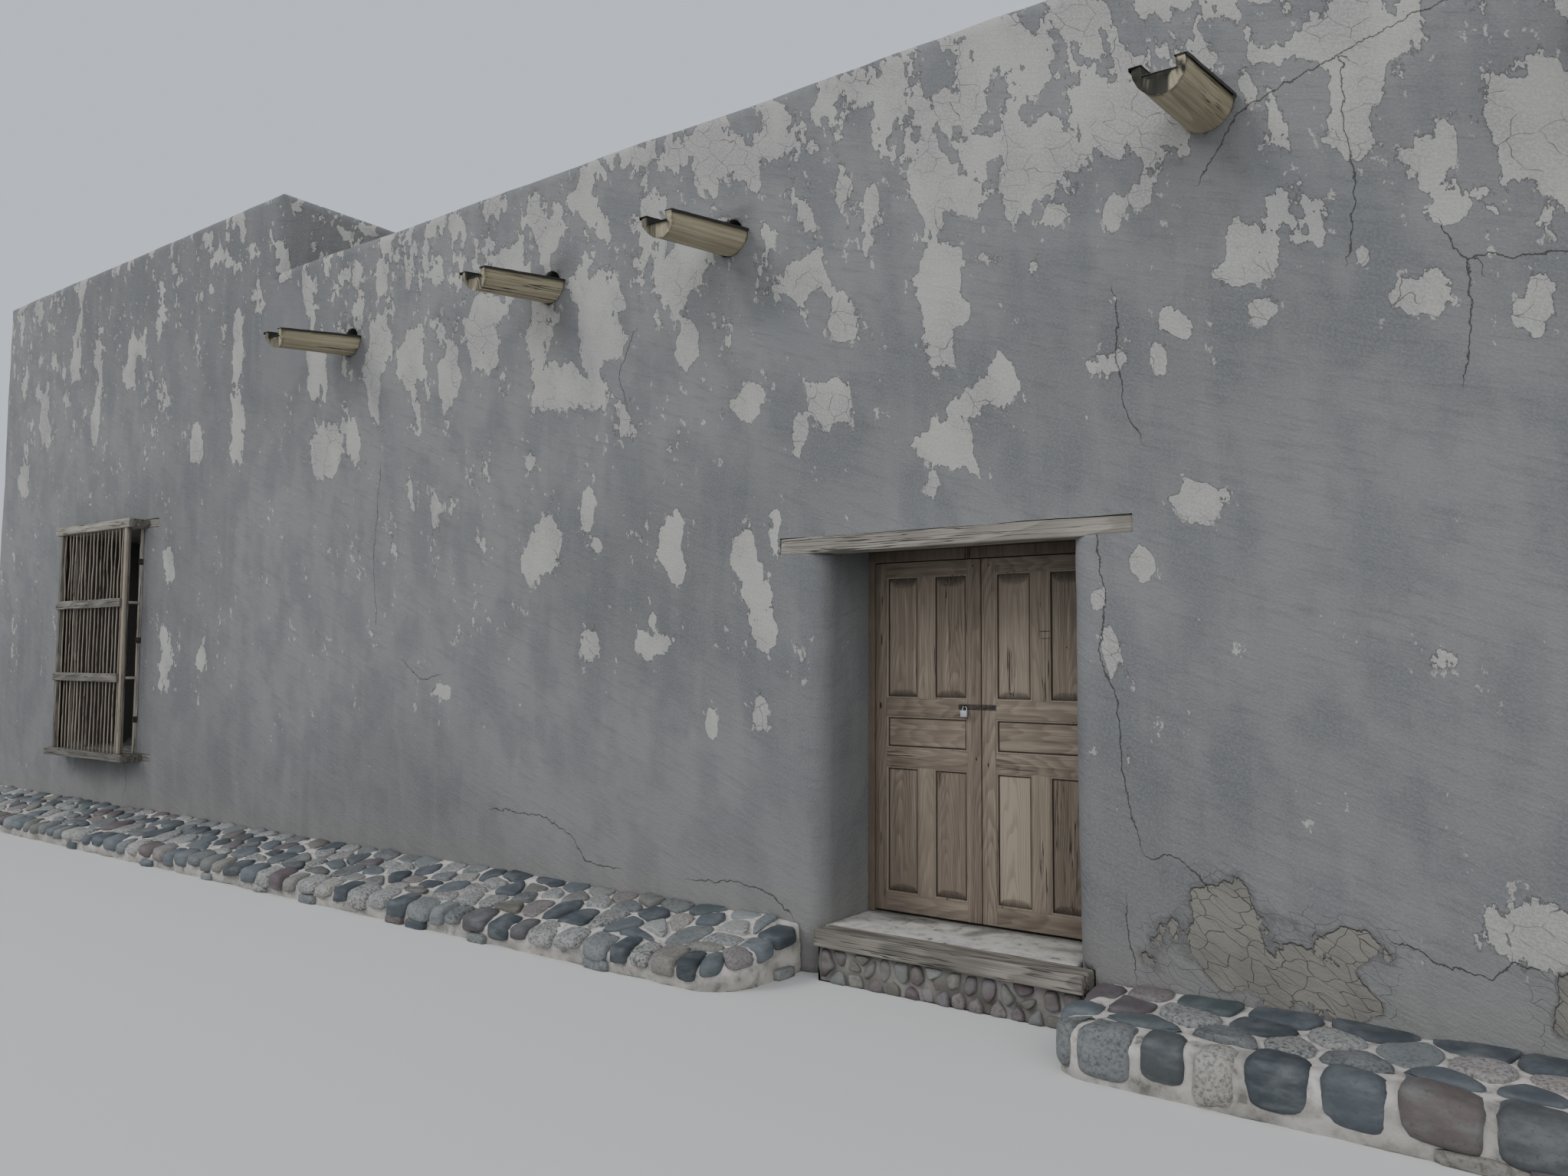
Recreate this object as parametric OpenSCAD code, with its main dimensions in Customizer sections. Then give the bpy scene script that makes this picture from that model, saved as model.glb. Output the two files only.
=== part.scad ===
// Long adobe house with a low middle, a tall part at each end and a panelled double door.
// Millimetres. X runs along the front, -Y faces the front, Z is up from the ground.

/* [House] */
// Length of the low middle part
main_l = 13430; // [12900:10:18000]
// Length of each tall end part
block_l = 6070; // [5200:10:8000]
// Depth of the house from the front face to the back face
house_d = 6200; // [5200:10:9000]
// Height of the low parapet above the ground
main_h = 5315; // [4800:5:5700]
// Height of the tall end parapets above the ground
block_h = 6050; // [5800:5:7000]
// Height of a parapet above its roof
parapet_rise = 835; // [500:5:900]

/* [Walls] */
// Thickness of the outer walls
wall_t = 800; // [700:10:1000]
// Thickness of the parapets above the beams
parapet_t = 450; // [350:10:550]
// Thickness of the walls between the low part and the tall parts
cross_t = 600; // [500:10:800]
// Radius of the worn plaster edges along the parapets
edge_r = 110; // [40:5:170]
// Radius of the worn plaster corners of the house
corner_r = 130; // [40:5:200]
// Width of the doorway in each inner wall
inner_door_w = 1100; // [800:10:1400]
// Height of the doorway in each inner wall
inner_door_h = 2100; // [1900:10:2300]

/* [Roof and floor] */
// Thickness of the boards and packed earth of the roofs
roof_t = 180; // [120:5:250]
// Diameter of the roof logs
log_d = 220; // [160:5:280]
// Depth of the flat hewn along the top and foot of each roof log
log_flat = 10; // [2:1:20]
// Distance between roof logs
log_pitch = 890; // [600:10:1200]
// Height of the packed earth floor above the ground
floor_h = 270; // [150:5:275]

/* [Stone plinth] */
// Width of the cobbled plinth round the house
plinth_w = 720; // [705:5:900]
// Height of the plinth where it meets the wall
plinth_h = 300; // [220:5:400]
// Height of the plinth's front edge
plinth_front_h = 145; // [80:5:200]
// Height of the right front plinth where it meets the wall
plinth_right_h = 262; // [220:5:400]
// Height of the right front plinth's front edge
plinth_right_front_h = 232; // [120:5:320]
// Radius of the left plinth's corner beside the door
plinth_corner_r = 340; // [100:5:450]
// Radius of the right plinth's corner beside the door
plinth_right_corner_r = 205; // [60:5:350]
// Distance that the left plinth runs past the start of the doorway's rounded edge
plinth_past = 35; // [0:5:90]

/* [Doorway] */
// Width of the doorway between its plaster reveals
doorway_w = 1500; // [1300:5:1800]
// Radius of the rounded plaster edges of the doorway
jamb_r = 130; // [40:5:180]
// Distance from the wall face back to the door frame
door_recess = 500; // [350:5:520]
// Depth of the wider rebate beside the doorway, behind the door frame
rebate_w = 100; // [60:5:140]
// Height of the underside of the front lintel
lintel_z = 2415; // [2300:5:2600]
// Height of the front lintel
lintel_h = 95; // [70:5:150]
// Depth of the front lintel, front to back
lintel_t = 150; // [100:5:250]
// Length of the front lintel let into the wall on the left
lintel_bearing_left = 305; // [150:5:400]
// Length of the front lintel let into the wall on the right
lintel_bearing_right = 335; // [150:5:400]
// Thickness of the planks over the doorway behind the lintel
soffit_t = 60; // [40:5:90]
// Number of planks over the doorway
soffit_planks = 4; // [3:1:6]
// Gap between neighbouring planks over the doorway
plank_gap = 3; // [1:0.5:8]
// Length of the planks let into the wall at each end
soffit_bearing = 200; // [120:5:300]
// Height of the threshold slab
slab_h = 285; // [280:1:320]
// Height of the front threshold beam
beam_h = 95; // [70:5:120]
// Depth of the front threshold beam, front to back
beam_t = 180; // [120:5:240]
// Distance that the threshold beam stands out of the wall
beam_out = 130; // [60:5:180]
// Distance that the threshold beam runs past the doorway on the right
beam_past = 105; // [20:5:125]
// Gap between the doorway's left reveal and the threshold beam
beam_left_gap = 30; // [5:5:60]
// Inset of the slab's foot under the threshold beam
slab_inset = 10; // [5:1:20]

/* [Door leaves] */
// Thickness of the leaves
leaf_t = 45; // [38:1:50]
// Height of the leaves
leaf_h = 2085; // [2060:5:2090]
// Gap under the leaves, over the threshold slab
leaf_foot_gap = 12; // [6:1:20]
// Gap between the two leaves at their inner faces
meeting_gap = 5; // [5:0.5:8]
// Bevel of the meeting edges, which lets a leaf swing past the other
meeting_bevel = 2.5; // [2.3:0.1:4]
// Gap between a leaf and the post that it hangs on
hang_gap = 7.5; // [5:0.5:10]
// Gap between a leaf and the stop in front of it
stop_gap = 5; // [5:0.5:8]
// Width of the frame post showing beside each reveal
post_show = 20; // [15:1:40]
// Width of the stop in front of the leaf edge
stop_w = 15; // [12:1:20]
// Thickness of the stop
stop_t = 20; // [15:1:25]
// Width of the stiles
stile_w = 88; // [75:1:100]
// Width of the muntins between paired panels
muntin_w = 104; // [80:1:120]
// Height of the top rail
top_rail_h = 85; // [70:1:110]
// Height of the upper panels
upper_panel_h = 733; // [600:1:760]
// Height of the lock rail
lock_rail_h = 107; // [80:1:120]
// Height of the wide middle panel
middle_panel_h = 193; // [150:1:230]
// Height of the rail under the middle panel
second_rail_h = 111; // [80:1:120]
// Height of the lower panels
lower_panel_h = 748; // [600:1:755]
// Width of the moulding round each panel
bead_w = 11; // [6:1:16]
// Depth of the moulding's step below the face of the leaf
bead_d = 7; // [4:1:10]
// Thickness of the panels at their edges
panel_t = 12; // [9:1:16]
// Depth of the grooves that hold the panels
groove_d = 9; // [6:1:12]
// Height that the panel fields rise above the panel edges
field_rise = 9; // [5:1:12]
// Width of the bevel along the sides of each panel field
field_bevel = 24; // [16:1:32]
// Width of the bevel at the top and foot of each tall panel field
end_bevel = 56; // [30:1:70]

/* [Hinges and hasp] */
// Radius of the hinge knuckles
knuckle_r = 9; // [8:0.5:9.5]
// Radius of the hinge pins
pin_r = 4; // [3:0.5:5]
// Radial clearance of each pin in its knuckle
pin_clear = 0.05; // [0.02:0.01:0.1]
// Height of one hinge knuckle
knuckle_h = 34; // [25:1:45]
// Gap between neighbouring knuckles
knuckle_gap = 1; // [0.5:0.1:2]
// Height of the hinge plates
hinge_plate_h = 100; // [80:1:104]
// Width of the hinge plates
hinge_plate_w = 55; // [40:1:70]
// Thickness of the hinge plates
hinge_plate_t = 3; // [2:0.5:4]
// Distance from a leaf's hanging edge to its hinge plates
hinge_plate_in = 1; // [0.5:0.5:4]
// Gap between a knuckle and the hinge plates beside it
knuckle_clear = 1; // [0.5:0.1:2]
// Distance from the top and foot of a leaf to its outer hinges
hinge_inset = 220; // [150:5:300]
// Height of the hasp strap
hasp_h = 30; // [24:1:40]
// Thickness of the hasp strap
hasp_t = 4; // [3:0.5:6]
// Length of the hasp on the left leaf, from the meeting line
hasp_left = 145; // [110:1:180]
// Length of the hasp on the right leaf, from the meeting line
hasp_right = 90; // [60:1:120]
// Distance that each part of the hasp stops short of its leaf's meeting edge
hasp_short = 4; // [2:0.5:8]
// Distance from the ends of the hasp plate to the ends of its round rib
hasp_rib_in = 8; // [4:1:16]
// Distance from the hasp's middle down from the top of the lock rail
hasp_drop = 40; // [25:1:60]
// Distance from the meeting line to the staple and padlock
staple_x = 101; // [80:1:120]
// Radius of the staple's round bar
staple_r = 3; // [2:0.5:4]
// Distance between the staple's two arms, centre to centre
staple_w = 18; // [14:1:20]
// Distance that the staple stands out of the leaf
staple_out = 19; // [16:1:24]
// Width of the padlock body
padlock_w = 42; // [35:1:50]
// Height of the padlock body
padlock_h = 36; // [30:1:50]
// Thickness of the padlock body
padlock_t = 18; // [14:1:24]
// Radius of the padlock shackle's round bar
shackle_r = 3.2; // [2.5:0.1:4]
// Distance from the shackle's arms to the sides of the padlock body
shackle_in = 8; // [6:1:11]
// Height of the shackle above the padlock body
shackle_rise = 27; // [22:1:34]

/* [Window cages] */
// Distance from the low part to the middle of each window
window_in = 3110; // [2400:5:3800]
// Width of the window opening in the wall
window_w = 1390; // [1000:5:1500]
// Height of the underside of the window
window_z = 825; // [600:5:1100]
// Height of the window opening
window_h = 2260; // [1800:5:2400]
// Height of the window's lintel and of the cage's top board
cage_top_h = 90; // [60:1:120]
// Height of the window's sill and of the cage's bottom board
cage_foot_h = 75; // [60:1:120]
// Length of the lintel and sill past the window on each side
window_bearing = 350; // [150:5:400]
// Depth of the timber sill, front to back
sill_t = 250; // [150:5:400]
// Width of the cage
cage_w = 1520; // [1400:5:1600]
// Distance from the wall to the front of the cage
cage_out = 175; // [120:5:250]
// Distance that the cage's top board stands in front of its posts
cage_top_lip = 15; // [5:1:40]
// Distance that the cage's bottom board stands in front of its posts
cage_foot_lip = 30; // [5:1:60]
// Length of the cage's top board past each side
cage_top_past = 95; // [40:5:150]
// Length of the cage's bottom board past each side
cage_foot_past = 125; // [40:5:180]
// Width of the cage's corner posts
cage_post = 48; // [35:1:60]
// Width of the thin posts against the wall
wall_post = 30; // [20:1:40]
// Height of the two front rails
cage_rail_h = 85; // [60:1:110]
// Thickness of the front rails
cage_rail_t = 22; // [16:1:30]
// Height of the thin side rails
side_rail_h = 26; // [18:1:40]
// Height of the iron straps
strap_h = 60; // [40:1:80]
// Thickness of the iron straps
strap_t = 5; // [3:0.5:8]
// Length of the iron straps past the thin posts
strap_past = 20; // [5:1:40]

/* [Roof spouts] */
// Distance from the middle of the door to the first spout on each side
spout_x1 = 1460; // [1300:10:2200]
// Distance from the middle of the door to the second spout
spout_x2 = 3110; // [2700:10:4200]
// Distance from the last spout to the end of the low part
spout_end = 1155; // [600:5:1800]
// Depth of the spouts' rims below the roof at the wall face
spout_set = 15; // [5:1:40]
// Distance that the spouts stand out of the wall
spout_out = 700; // [400:10:700]
// Drop of a spout over that distance
spout_drop = 95; // [40:5:150]
// Radius of a spout log at its inner end
spout_r = 140; // [110:1:160]
// Radius of a spout log at its tip
spout_tip_r = 121; // [100:1:140]
// Height of the log's flat top above its centre line
spout_flat = 12; // [0:1:30]
// Width of the water channel
channel_w = 150; // [100:5:180]
// Depth of the water channel below the flat top
channel_d = 78; // [50:1:95]
// Thickness of the metal liner in the channel
liner_t = 2; // [1:0.5:3]
// Width of the liner's lip on each rim
liner_lip = 16; // [8:1:25]
// Distance from the liner's ends to the spout's tip and to the parapet's inner face
liner_back = 15; // [5:1:40]
// Gap between the liner's lips and the sides of the water hole
hole_gap = 5; // [2:1:10]
// Height of the water hole above the log's flat top
scupper_h = 90; // [60:5:120]

/* [Hidden] */
$fn = 48;
eps = 1;
seat = 0.3;
run_out = 100;

// Places worked out from the sizes above
half_main = main_l / 2;
half_l = half_main + block_l;
front_y = -house_d / 2;
back_y = house_d / 2;
main_roof_z = main_h - parapet_rise;
block_roof_z = block_h - parapet_rise;
log_h = log_d - 2 * log_flat;
main_ledge_z = main_roof_z - roof_t - log_h;
block_ledge_z = block_roof_z - roof_t - log_h;
inner_l = block_l - wall_t - cross_t;

lintel_top_z = lintel_z + lintel_h;
soffit_z = lintel_top_z - soffit_t;
half_door = doorway_w / 2;
half_rebate = half_door + rebate_w;
frame_y = front_y + door_recess;
leaf_front_y = frame_y + stop_t + stop_gap;
leaf_back_y = leaf_front_y + leaf_t;
post_x = half_door - post_show;
leaf_edge_x = post_x - hang_gap;
leaf_w = leaf_edge_x - meeting_gap / 2;
leaf_z = slab_h + leaf_foot_gap;
leaf_top_z = leaf_z + leaf_h;
head_z = leaf_top_z + stop_gap;
hinge_x = post_x - hang_gap / 3;
hinge_y = leaf_back_y + hinge_plate_t + knuckle_clear + knuckle_r;
bottom_rail_h = leaf_h - top_rail_h - upper_panel_h - lock_rail_h - middle_panel_h
  - second_rail_h - lower_panel_h;
lower_panel_z = bottom_rail_h;
middle_panel_z = lower_panel_z + lower_panel_h + second_rail_h;
upper_panel_z = middle_panel_z + middle_panel_h + lock_rail_h;
wide_panel_w = leaf_w - 2 * stile_w;
tall_panel_w = (wide_panel_w - muntin_w) / 2;
field_in = groove_d + seat;
hasp_z = leaf_z + upper_panel_z - hasp_drop;
hasp_gap = meeting_gap / 2 + hasp_short;

window_x = half_main + window_in;
cage_top_z = window_z + window_h;
strap_shares = [0.15, 0.5, 0.85];
cage_rail_1_z = window_z + window_h / 3 - cage_rail_h / 2;
cage_rail_2_z = window_z + window_h * 2 / 3 - cage_rail_h / 2;

spout_z = main_roof_z - spout_set;
spout_slope = atan(spout_drop / spout_out);
spout_l = spout_out + parapet_t / cos(spout_slope);
spout_x3 = half_main - spout_end;
beam_x0 = -half_door + beam_left_gap;
beam_x1 = half_door + beam_past;
beam_front_y = front_y - beam_out;
spout_xs = [-spout_x3, -spout_x2, -spout_x1, spout_x1, spout_x2, spout_x3];

plaster = [0.50, 0.46, 0.42];
earth = [0.47, 0.40, 0.33];
stone = [0.42, 0.44, 0.47];
lime = [0.66, 0.65, 0.62];
grey_wood = [0.50, 0.47, 0.42];
door_wood = [0.48, 0.32, 0.19];
dark_wood = [0.25, 0.19, 0.14];
iron = [0.16, 0.15, 0.15];
steel = [0.72, 0.73, 0.74];

// Flat shapes

// Upright rectangle with its two top corners rounded
module round_top(w, h, r) {
  square([w, h - r]);
  translate([r, 0]) square([w - 2 * r, h]);
  for (x = [r, w - r]) translate([x, h - r]) circle(r = r);
}

// Cross section of an outer wall, with its outer face on the left
module wall_section(top_z, ledge_z, t) {
  square([t, ledge_z]);
  round_top(parapet_t, top_z, edge_r);
}

// Extrudes a flat shape along X: its width runs along Y and its height along Z
module along_x(x0, x1) {
  translate([x0, 0, 0]) rotate([90, 0, 90]) linear_extrude(x1 - x0) children();
}

// Extrudes a flat shape along Y: its width runs along X and its height along Z
module along_y(y0, y1) {
  translate([0, y1, 0]) rotate([90, 0, 0]) linear_extrude(y1 - y0) children();
}

// Walls

// Straight front wall of the low part between two places, with its face on the front
module low_wall(x0, x1) {
  translate([0, front_y, 0]) along_x(x0, x1) wall_section(main_h, main_ledge_z, wall_t);
}

// Hole through the wall for one spout log, with the arched water hole above it
module spout_hole(x) {
  half = channel_w / 2 + liner_lip + hole_gap;
  spout_place(x) {
    spout_log(seat, run_out);
    translate([0, parapet_t + run_out, spout_flat]) rotate([90, 0, 0]) linear_extrude(spout_l + run_out) {
      translate([-half, -channel_d / 2]) square([2 * half, channel_d / 2 + scupper_h - half]);
      translate([0, scupper_h - half]) circle(r = half);
    }
  }
}

// Reveal of the doorway on the right, cut out of the wall below the lintel
module reveal_cut() {
  difference() {
    translate([-eps, front_y - eps, -eps])
      cube([half_door + jamb_r + eps, wall_t + 2 * eps, lintel_z + eps]);
    translate([half_door, front_y + jamb_r, -2 * eps])
      cube([jamb_r + 2 * eps, door_recess - jamb_r, lintel_z + 4 * eps]);
    translate([half_door + jamb_r, front_y + jamb_r, -2 * eps]) cylinder(r = jamb_r, h = lintel_z + 4 * eps);
    translate([half_rebate, frame_y, -2 * eps]) cube([jamb_r, wall_t, lintel_z + 4 * eps]);
  }
  translate([0, frame_y, lintel_z - eps]) cube([half_rebate, wall_t, soffit_z - lintel_z + eps]);
}

// Pockets in the wall for the front lintel and the planks behind it
module lintel_pockets() {
  translate([-half_door - lintel_bearing_left, front_y - eps, lintel_z])
    cube([doorway_w + lintel_bearing_left + lintel_bearing_right, lintel_t + eps, lintel_h]);
  translate([-half_door - soffit_bearing, front_y + lintel_t, soffit_z])
    cube([doorway_w + 2 * soffit_bearing, wall_t - lintel_t + eps, soffit_t]);
}

// Space that the threshold beam and the slab's foot take out of the wall
module threshold_bed() {
  translate([0, front_y, 0]) cube([beam_x1 + seat, beam_t - beam_out + seat, slab_h + seat]);
}

module front_wall_right() {
  color(plaster) difference() {
    low_wall(half_door, half_main);
    reveal_cut();
    threshold_bed();
    lintel_pockets();
    for (x = [spout_x1, spout_x2, spout_x3]) spout_hole(x);
  }
}

module front_wall_left() {
  color(plaster) difference() {
    low_wall(-half_main, -half_door);
    mirror([1, 0, 0]) reveal_cut();
    lintel_pockets();
    for (x = [spout_x1, spout_x2, spout_x3]) spout_hole(-x);
  }
}

module front_wall_over_door() {
  color(plaster) intersection() {
    low_wall(-half_door, half_door);
    translate([-half_door, front_y - eps, lintel_top_z]) cube([doorway_w, wall_t + 2 * eps, main_h]);
  }
}

// Long wall of the left tall part, with its face on the front
module block_long_wall() {
  intersection() {
    translate([0, front_y, 0]) along_x(-half_l, -half_main) wall_section(block_h, block_ledge_z, wall_t);
    along_y(front_y, front_y + wall_t) translate([-half_l, 0]) round_top(block_l, block_h, edge_r);
    union() {
      translate([-half_l, front_y, 0]) linear_extrude(main_h - edge_r) corner_plan(block_l);
      translate([-half_l, front_y, main_h - edge_r]) linear_extrude(block_h) round_front(block_l);
    }
  }
}

// Plan of a wall with its outer front corner rounded
module corner_plan(l) {
  translate([corner_r, 0]) square([l - corner_r, wall_t]);
  translate([0, corner_r]) square([l, wall_t - corner_r]);
  translate([corner_r, corner_r]) circle(r = corner_r);
}

// Plan of a wall with both front corners rounded
module round_front(l) {
  translate([corner_r, 0]) square([l - 2 * corner_r, wall_t]);
  translate([0, corner_r]) square([l, wall_t - corner_r]);
  for (x = [corner_r, l - corner_r]) translate([x, corner_r]) circle(r = corner_r);
}

// Window hole with the pockets of its lintel and sill, centred on x
module window_cut(x) {
  translate([x - window_w / 2, front_y - eps, window_z]) cube([window_w, wall_t + 2 * eps, window_h]);
  translate([x - window_w / 2 - window_bearing, front_y - eps, cage_top_z])
    cube([window_w + 2 * window_bearing, wall_t + 2 * eps, cage_top_h]);
  translate([x - window_w / 2 - window_bearing, front_y - eps, window_z - cage_foot_h])
    cube([window_w + 2 * window_bearing, sill_t + eps, cage_foot_h]);
}

module left_block_front_wall() {
  color(plaster) difference() {
    block_long_wall();
    window_cut(-window_x);
  }
}

module right_block_front_wall() {
  color(plaster) difference() {
    mirror([1, 0, 0]) block_long_wall();
    window_cut(window_x);
  }
}

module back_wall() {
  color(plaster) mirror([0, 1, 0]) low_wall(-half_main, half_main);
}

module left_block_back_wall() {
  color(plaster) mirror([0, 1, 0]) block_long_wall();
}

module right_block_back_wall() {
  color(plaster) mirror([1, 0, 0]) mirror([0, 1, 0]) block_long_wall();
}

// End wall between the front and back walls, with its parapet standing over them
module end_wall() {
  translate([-half_l, 0, 0]) {
    along_y(front_y + wall_t, back_y - wall_t) square([wall_t, block_ledge_z]);
    difference() {
      along_y(front_y + parapet_t, back_y - parapet_t) round_top(parapet_t, block_h, edge_r);
      translate([-eps, -house_d, -eps]) cube([wall_t + eps, 2 * house_d, block_ledge_z + eps]);
    }
  }
}

module left_end_wall() {
  color(plaster) end_wall();
}

module right_end_wall() {
  color(plaster) mirror([1, 0, 0]) end_wall();
}

// Wall between the low part and the left tall part, which rises as the tall part's inner parapet
module cross_wall() {
  difference() {
    union() {
      translate([-half_main - cross_t, front_y + wall_t, 0])
        cube([cross_t, house_d - 2 * wall_t, block_ledge_z]);
      translate([-half_main - parapet_t, 0, 0]) difference() {
        along_y(front_y + parapet_t, back_y - parapet_t) round_top(parapet_t, block_h, edge_r);
        translate([-eps, -house_d, -eps]) cube([wall_t + eps, 2 * house_d, block_ledge_z + eps]);
      }
    }
    translate([-half_main - cross_t - eps, -inner_door_w / 2, floor_h])
      cube([cross_t + 2 * eps, inner_door_w, inner_door_h]);
    translate([-half_main - cross_t - eps, -channel_w / 2, block_roof_z])
      cube([cross_t + 2 * eps, channel_w, scupper_h]);
  }
}

module left_cross_wall() {
  color(plaster) cross_wall();
}

module right_cross_wall() {
  color(plaster) mirror([1, 0, 0]) cross_wall();
}

// Roofs and floors

module main_roof() {
  color(earth) translate([-half_main, front_y + parapet_t, main_roof_z - roof_t])
    cube([main_l, house_d - 2 * parapet_t, roof_t]);
}

module block_roof() {
  translate([-half_l + parapet_t, front_y + parapet_t, block_roof_z - roof_t])
    cube([block_l - 2 * parapet_t, house_d - 2 * parapet_t, roof_t]);
}

module left_block_roof() {
  color(earth) block_roof();
}

module right_block_roof() {
  color(earth) mirror([1, 0, 0]) block_roof();
}

// Roof log laid front to back, hewn flat along its top and foot
module roof_log(x, z) {
  intersection() {
    translate([x, front_y + parapet_t, z + log_h / 2]) rotate([-90, 0, 0])
      cylinder(r = log_d / 2, h = house_d - 2 * parapet_t);
    translate([x - log_d, front_y, z]) cube([2 * log_d, house_d, log_h]);
  }
}

// Row of roof logs spread evenly over a room that runs from x0 to x1
module log_row(x0, x1, z) {
  count = max(2, round((x1 - x0) / log_pitch));
  pitch = (x1 - x0) / count;
  for (i = [0 : count - 1]) roof_log(x0 + (i + 0.5) * pitch, z);
}

module roof_logs() {
  color(dark_wood) {
    log_row(-half_main, half_main, main_ledge_z);
    log_row(-half_l + wall_t, -half_main - cross_t, block_ledge_z);
    log_row(half_main + cross_t, half_l - wall_t, block_ledge_z);
  }
}

module floors() {
  color(earth) {
    translate([-half_main, front_y + wall_t, 0]) cube([main_l, house_d - 2 * wall_t, floor_h]);
    for (x = [-half_l + wall_t, half_main + cross_t])
      translate([x, front_y + wall_t, 0]) cube([inner_l, house_d - 2 * wall_t, floor_h]);
  }
}

// Plinths

// Cross section of a plinth: the wall is on the right, the front edge on the left
module plinth_section(wall_h, edge_h) {
  polygon([[-plinth_w, 0], [0, 0], [0, wall_h], [-plinth_w, edge_h]]);
}

// Plinth along the left front wall from the door to past the house corner
module long_plinth(x0, x1, wall_h, edge_h, r) {
  intersection() {
    translate([0, front_y, 0]) along_x(x0, x1) plinth_section(wall_h, edge_h);
    union() {
      translate([-half_l, front_y - plinth_w, 0]) cube([2 * half_l, plinth_w, wall_h]);
      along_y(front_y - plinth_w, front_y) translate([-half_l, 0]) plinth_section(wall_h, edge_h);
    }
    linear_extrude(wall_h) {
      translate([x0, front_y - plinth_w]) square([x1 - x0 - r, plinth_w]);
      translate([x0, front_y - plinth_w + r]) square([x1 - x0, plinth_w - r]);
      if (r > 0) translate([x1 - r, front_y - plinth_w + r]) circle(r = r);
    }
  }
}

module front_plinth_left() {
  color(stone) long_plinth(-half_l - plinth_w, -half_door - jamb_r + plinth_past, plinth_h,
    plinth_front_h, plinth_corner_r);
}

module front_plinth_right() {
  color(stone) mirror([1, 0, 0]) long_plinth(-half_l - plinth_w, -half_door - jamb_r,
    plinth_right_h, plinth_right_front_h, plinth_right_corner_r);
}

module left_end_plinth() {
  color(stone) along_y(front_y, back_y) translate([-half_l, 0]) plinth_section(plinth_h, plinth_front_h);
}

module right_end_plinth() {
  color(stone) mirror([1, 0, 0]) along_y(front_y, back_y) translate([-half_l, 0])
    plinth_section(plinth_h, plinth_front_h);
}

module back_plinth() {
  color(stone) mirror([0, 1, 0]) {
    long_plinth(-half_l - plinth_w, 0, plinth_h, plinth_front_h, 0);
    mirror([1, 0, 0]) long_plinth(-half_l - plinth_w, 0, plinth_h, plinth_front_h, 0);
  }
}

// Doorway

module door_lintel() {
  color(grey_wood) translate([-half_door - lintel_bearing_left, front_y, lintel_z])
    cube([doorway_w + lintel_bearing_left + lintel_bearing_right, lintel_t, lintel_h]);
}

module door_soffit() {
  depth = (wall_t - lintel_t) / soffit_planks;
  color(dark_wood) for (i = [0 : soffit_planks - 1])
    translate([-half_door - soffit_bearing, front_y + lintel_t + i * depth, soffit_z])
      cube([doorway_w + 2 * soffit_bearing, depth - plank_gap, soffit_t]);
}

// Post, head and stop of the door frame
module door_frame() {
  color(door_wood) for (side = [0, 1]) mirror([side, 0, 0]) {
    translate([post_x, frame_y, slab_h])
      cube([half_rebate - post_x, leaf_back_y - frame_y, soffit_z - slab_h]);
    translate([post_x - stop_w - hang_gap, frame_y, slab_h])
      cube([stop_w + hang_gap, stop_t, soffit_z - slab_h]);
    translate([0, frame_y, head_z]) cube([post_x, leaf_back_y - frame_y, soffit_z - head_z]);
  }
}

module threshold_beam() {
  color(grey_wood) translate([beam_x0, beam_front_y, slab_h - beam_h])
    cube([beam_x1 - beam_x0, beam_t, beam_h]);
}

module threshold_slab() {
  beam_back = beam_front_y + beam_t;
  color(lime) {
    translate([-half_door, beam_back, 0]) cube([doorway_w, frame_y - beam_back, slab_h]);
    translate([-half_rebate, frame_y, 0]) cube([2 * half_rebate, wall_t - door_recess, slab_h]);
    translate([beam_x0 + slab_inset, beam_front_y + 2 * slab_inset, 0])
      cube([beam_x1 - beam_x0 - 2 * slab_inset, beam_t - 2 * slab_inset, slab_h - beam_h]);
  }
}

// Door leaves, drawn for the left leaf with x from its outer edge and z from its foot

// Places and sizes of the five panels: x, z, width, height and whether tall or wide
panels = [
  [stile_w, lower_panel_z, tall_panel_w, lower_panel_h, "tall"],
  [stile_w + tall_panel_w + muntin_w, lower_panel_z, tall_panel_w, lower_panel_h, "tall"],
  [stile_w, middle_panel_z, wide_panel_w, middle_panel_h, "wide"],
  [stile_w, upper_panel_z, tall_panel_w, upper_panel_h, "tall"],
  [stile_w + tall_panel_w + muntin_w, upper_panel_z, tall_panel_w, upper_panel_h, "tall"]
];

// Moves a leaf's own frame to the closed left leaf
module left_leaf_place() {
  translate([-leaf_edge_x, leaf_front_y, leaf_z]) children();
}

// Moves a leaf's own frame to the closed right leaf
module right_leaf_place() {
  mirror([1, 0, 0]) left_leaf_place() children();
}

// Stiles, rails and muntins of a leaf, with a stepped moulding and a groove round each panel
module leaf_frame() {
  difference() {
    linear_extrude(leaf_h)
      polygon([[0, 0], [leaf_w - meeting_bevel, 0], [leaf_w, leaf_t], [0, leaf_t]]);
    for (p = panels) {
      translate([p[0] + bead_w, -eps, p[1] + bead_w])
        cube([p[2] - 2 * bead_w, leaf_t + 2 * eps, p[3] - 2 * bead_w]);
      translate([p[0], -eps, p[1]]) cube([p[2], bead_d + eps, p[3]]);
      translate([p[0], leaf_t - bead_d, p[1]]) cube([p[2], bead_d + eps, p[3]]);
      translate([p[0] + bead_w - groove_d, leaf_t / 2 - panel_t / 2, p[1] + bead_w - groove_d])
        cube([p[2] - 2 * (bead_w - groove_d), panel_t, p[3] - 2 * (bead_w - groove_d)]);
    }
  }
}

// Flat section of a raised field: its width, its height and the width of its bevels
module field_section(w, bevel) {
  polygon([[0, 0], [bevel, field_rise], [w - bevel, field_rise], [w, 0]]);
}

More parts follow.
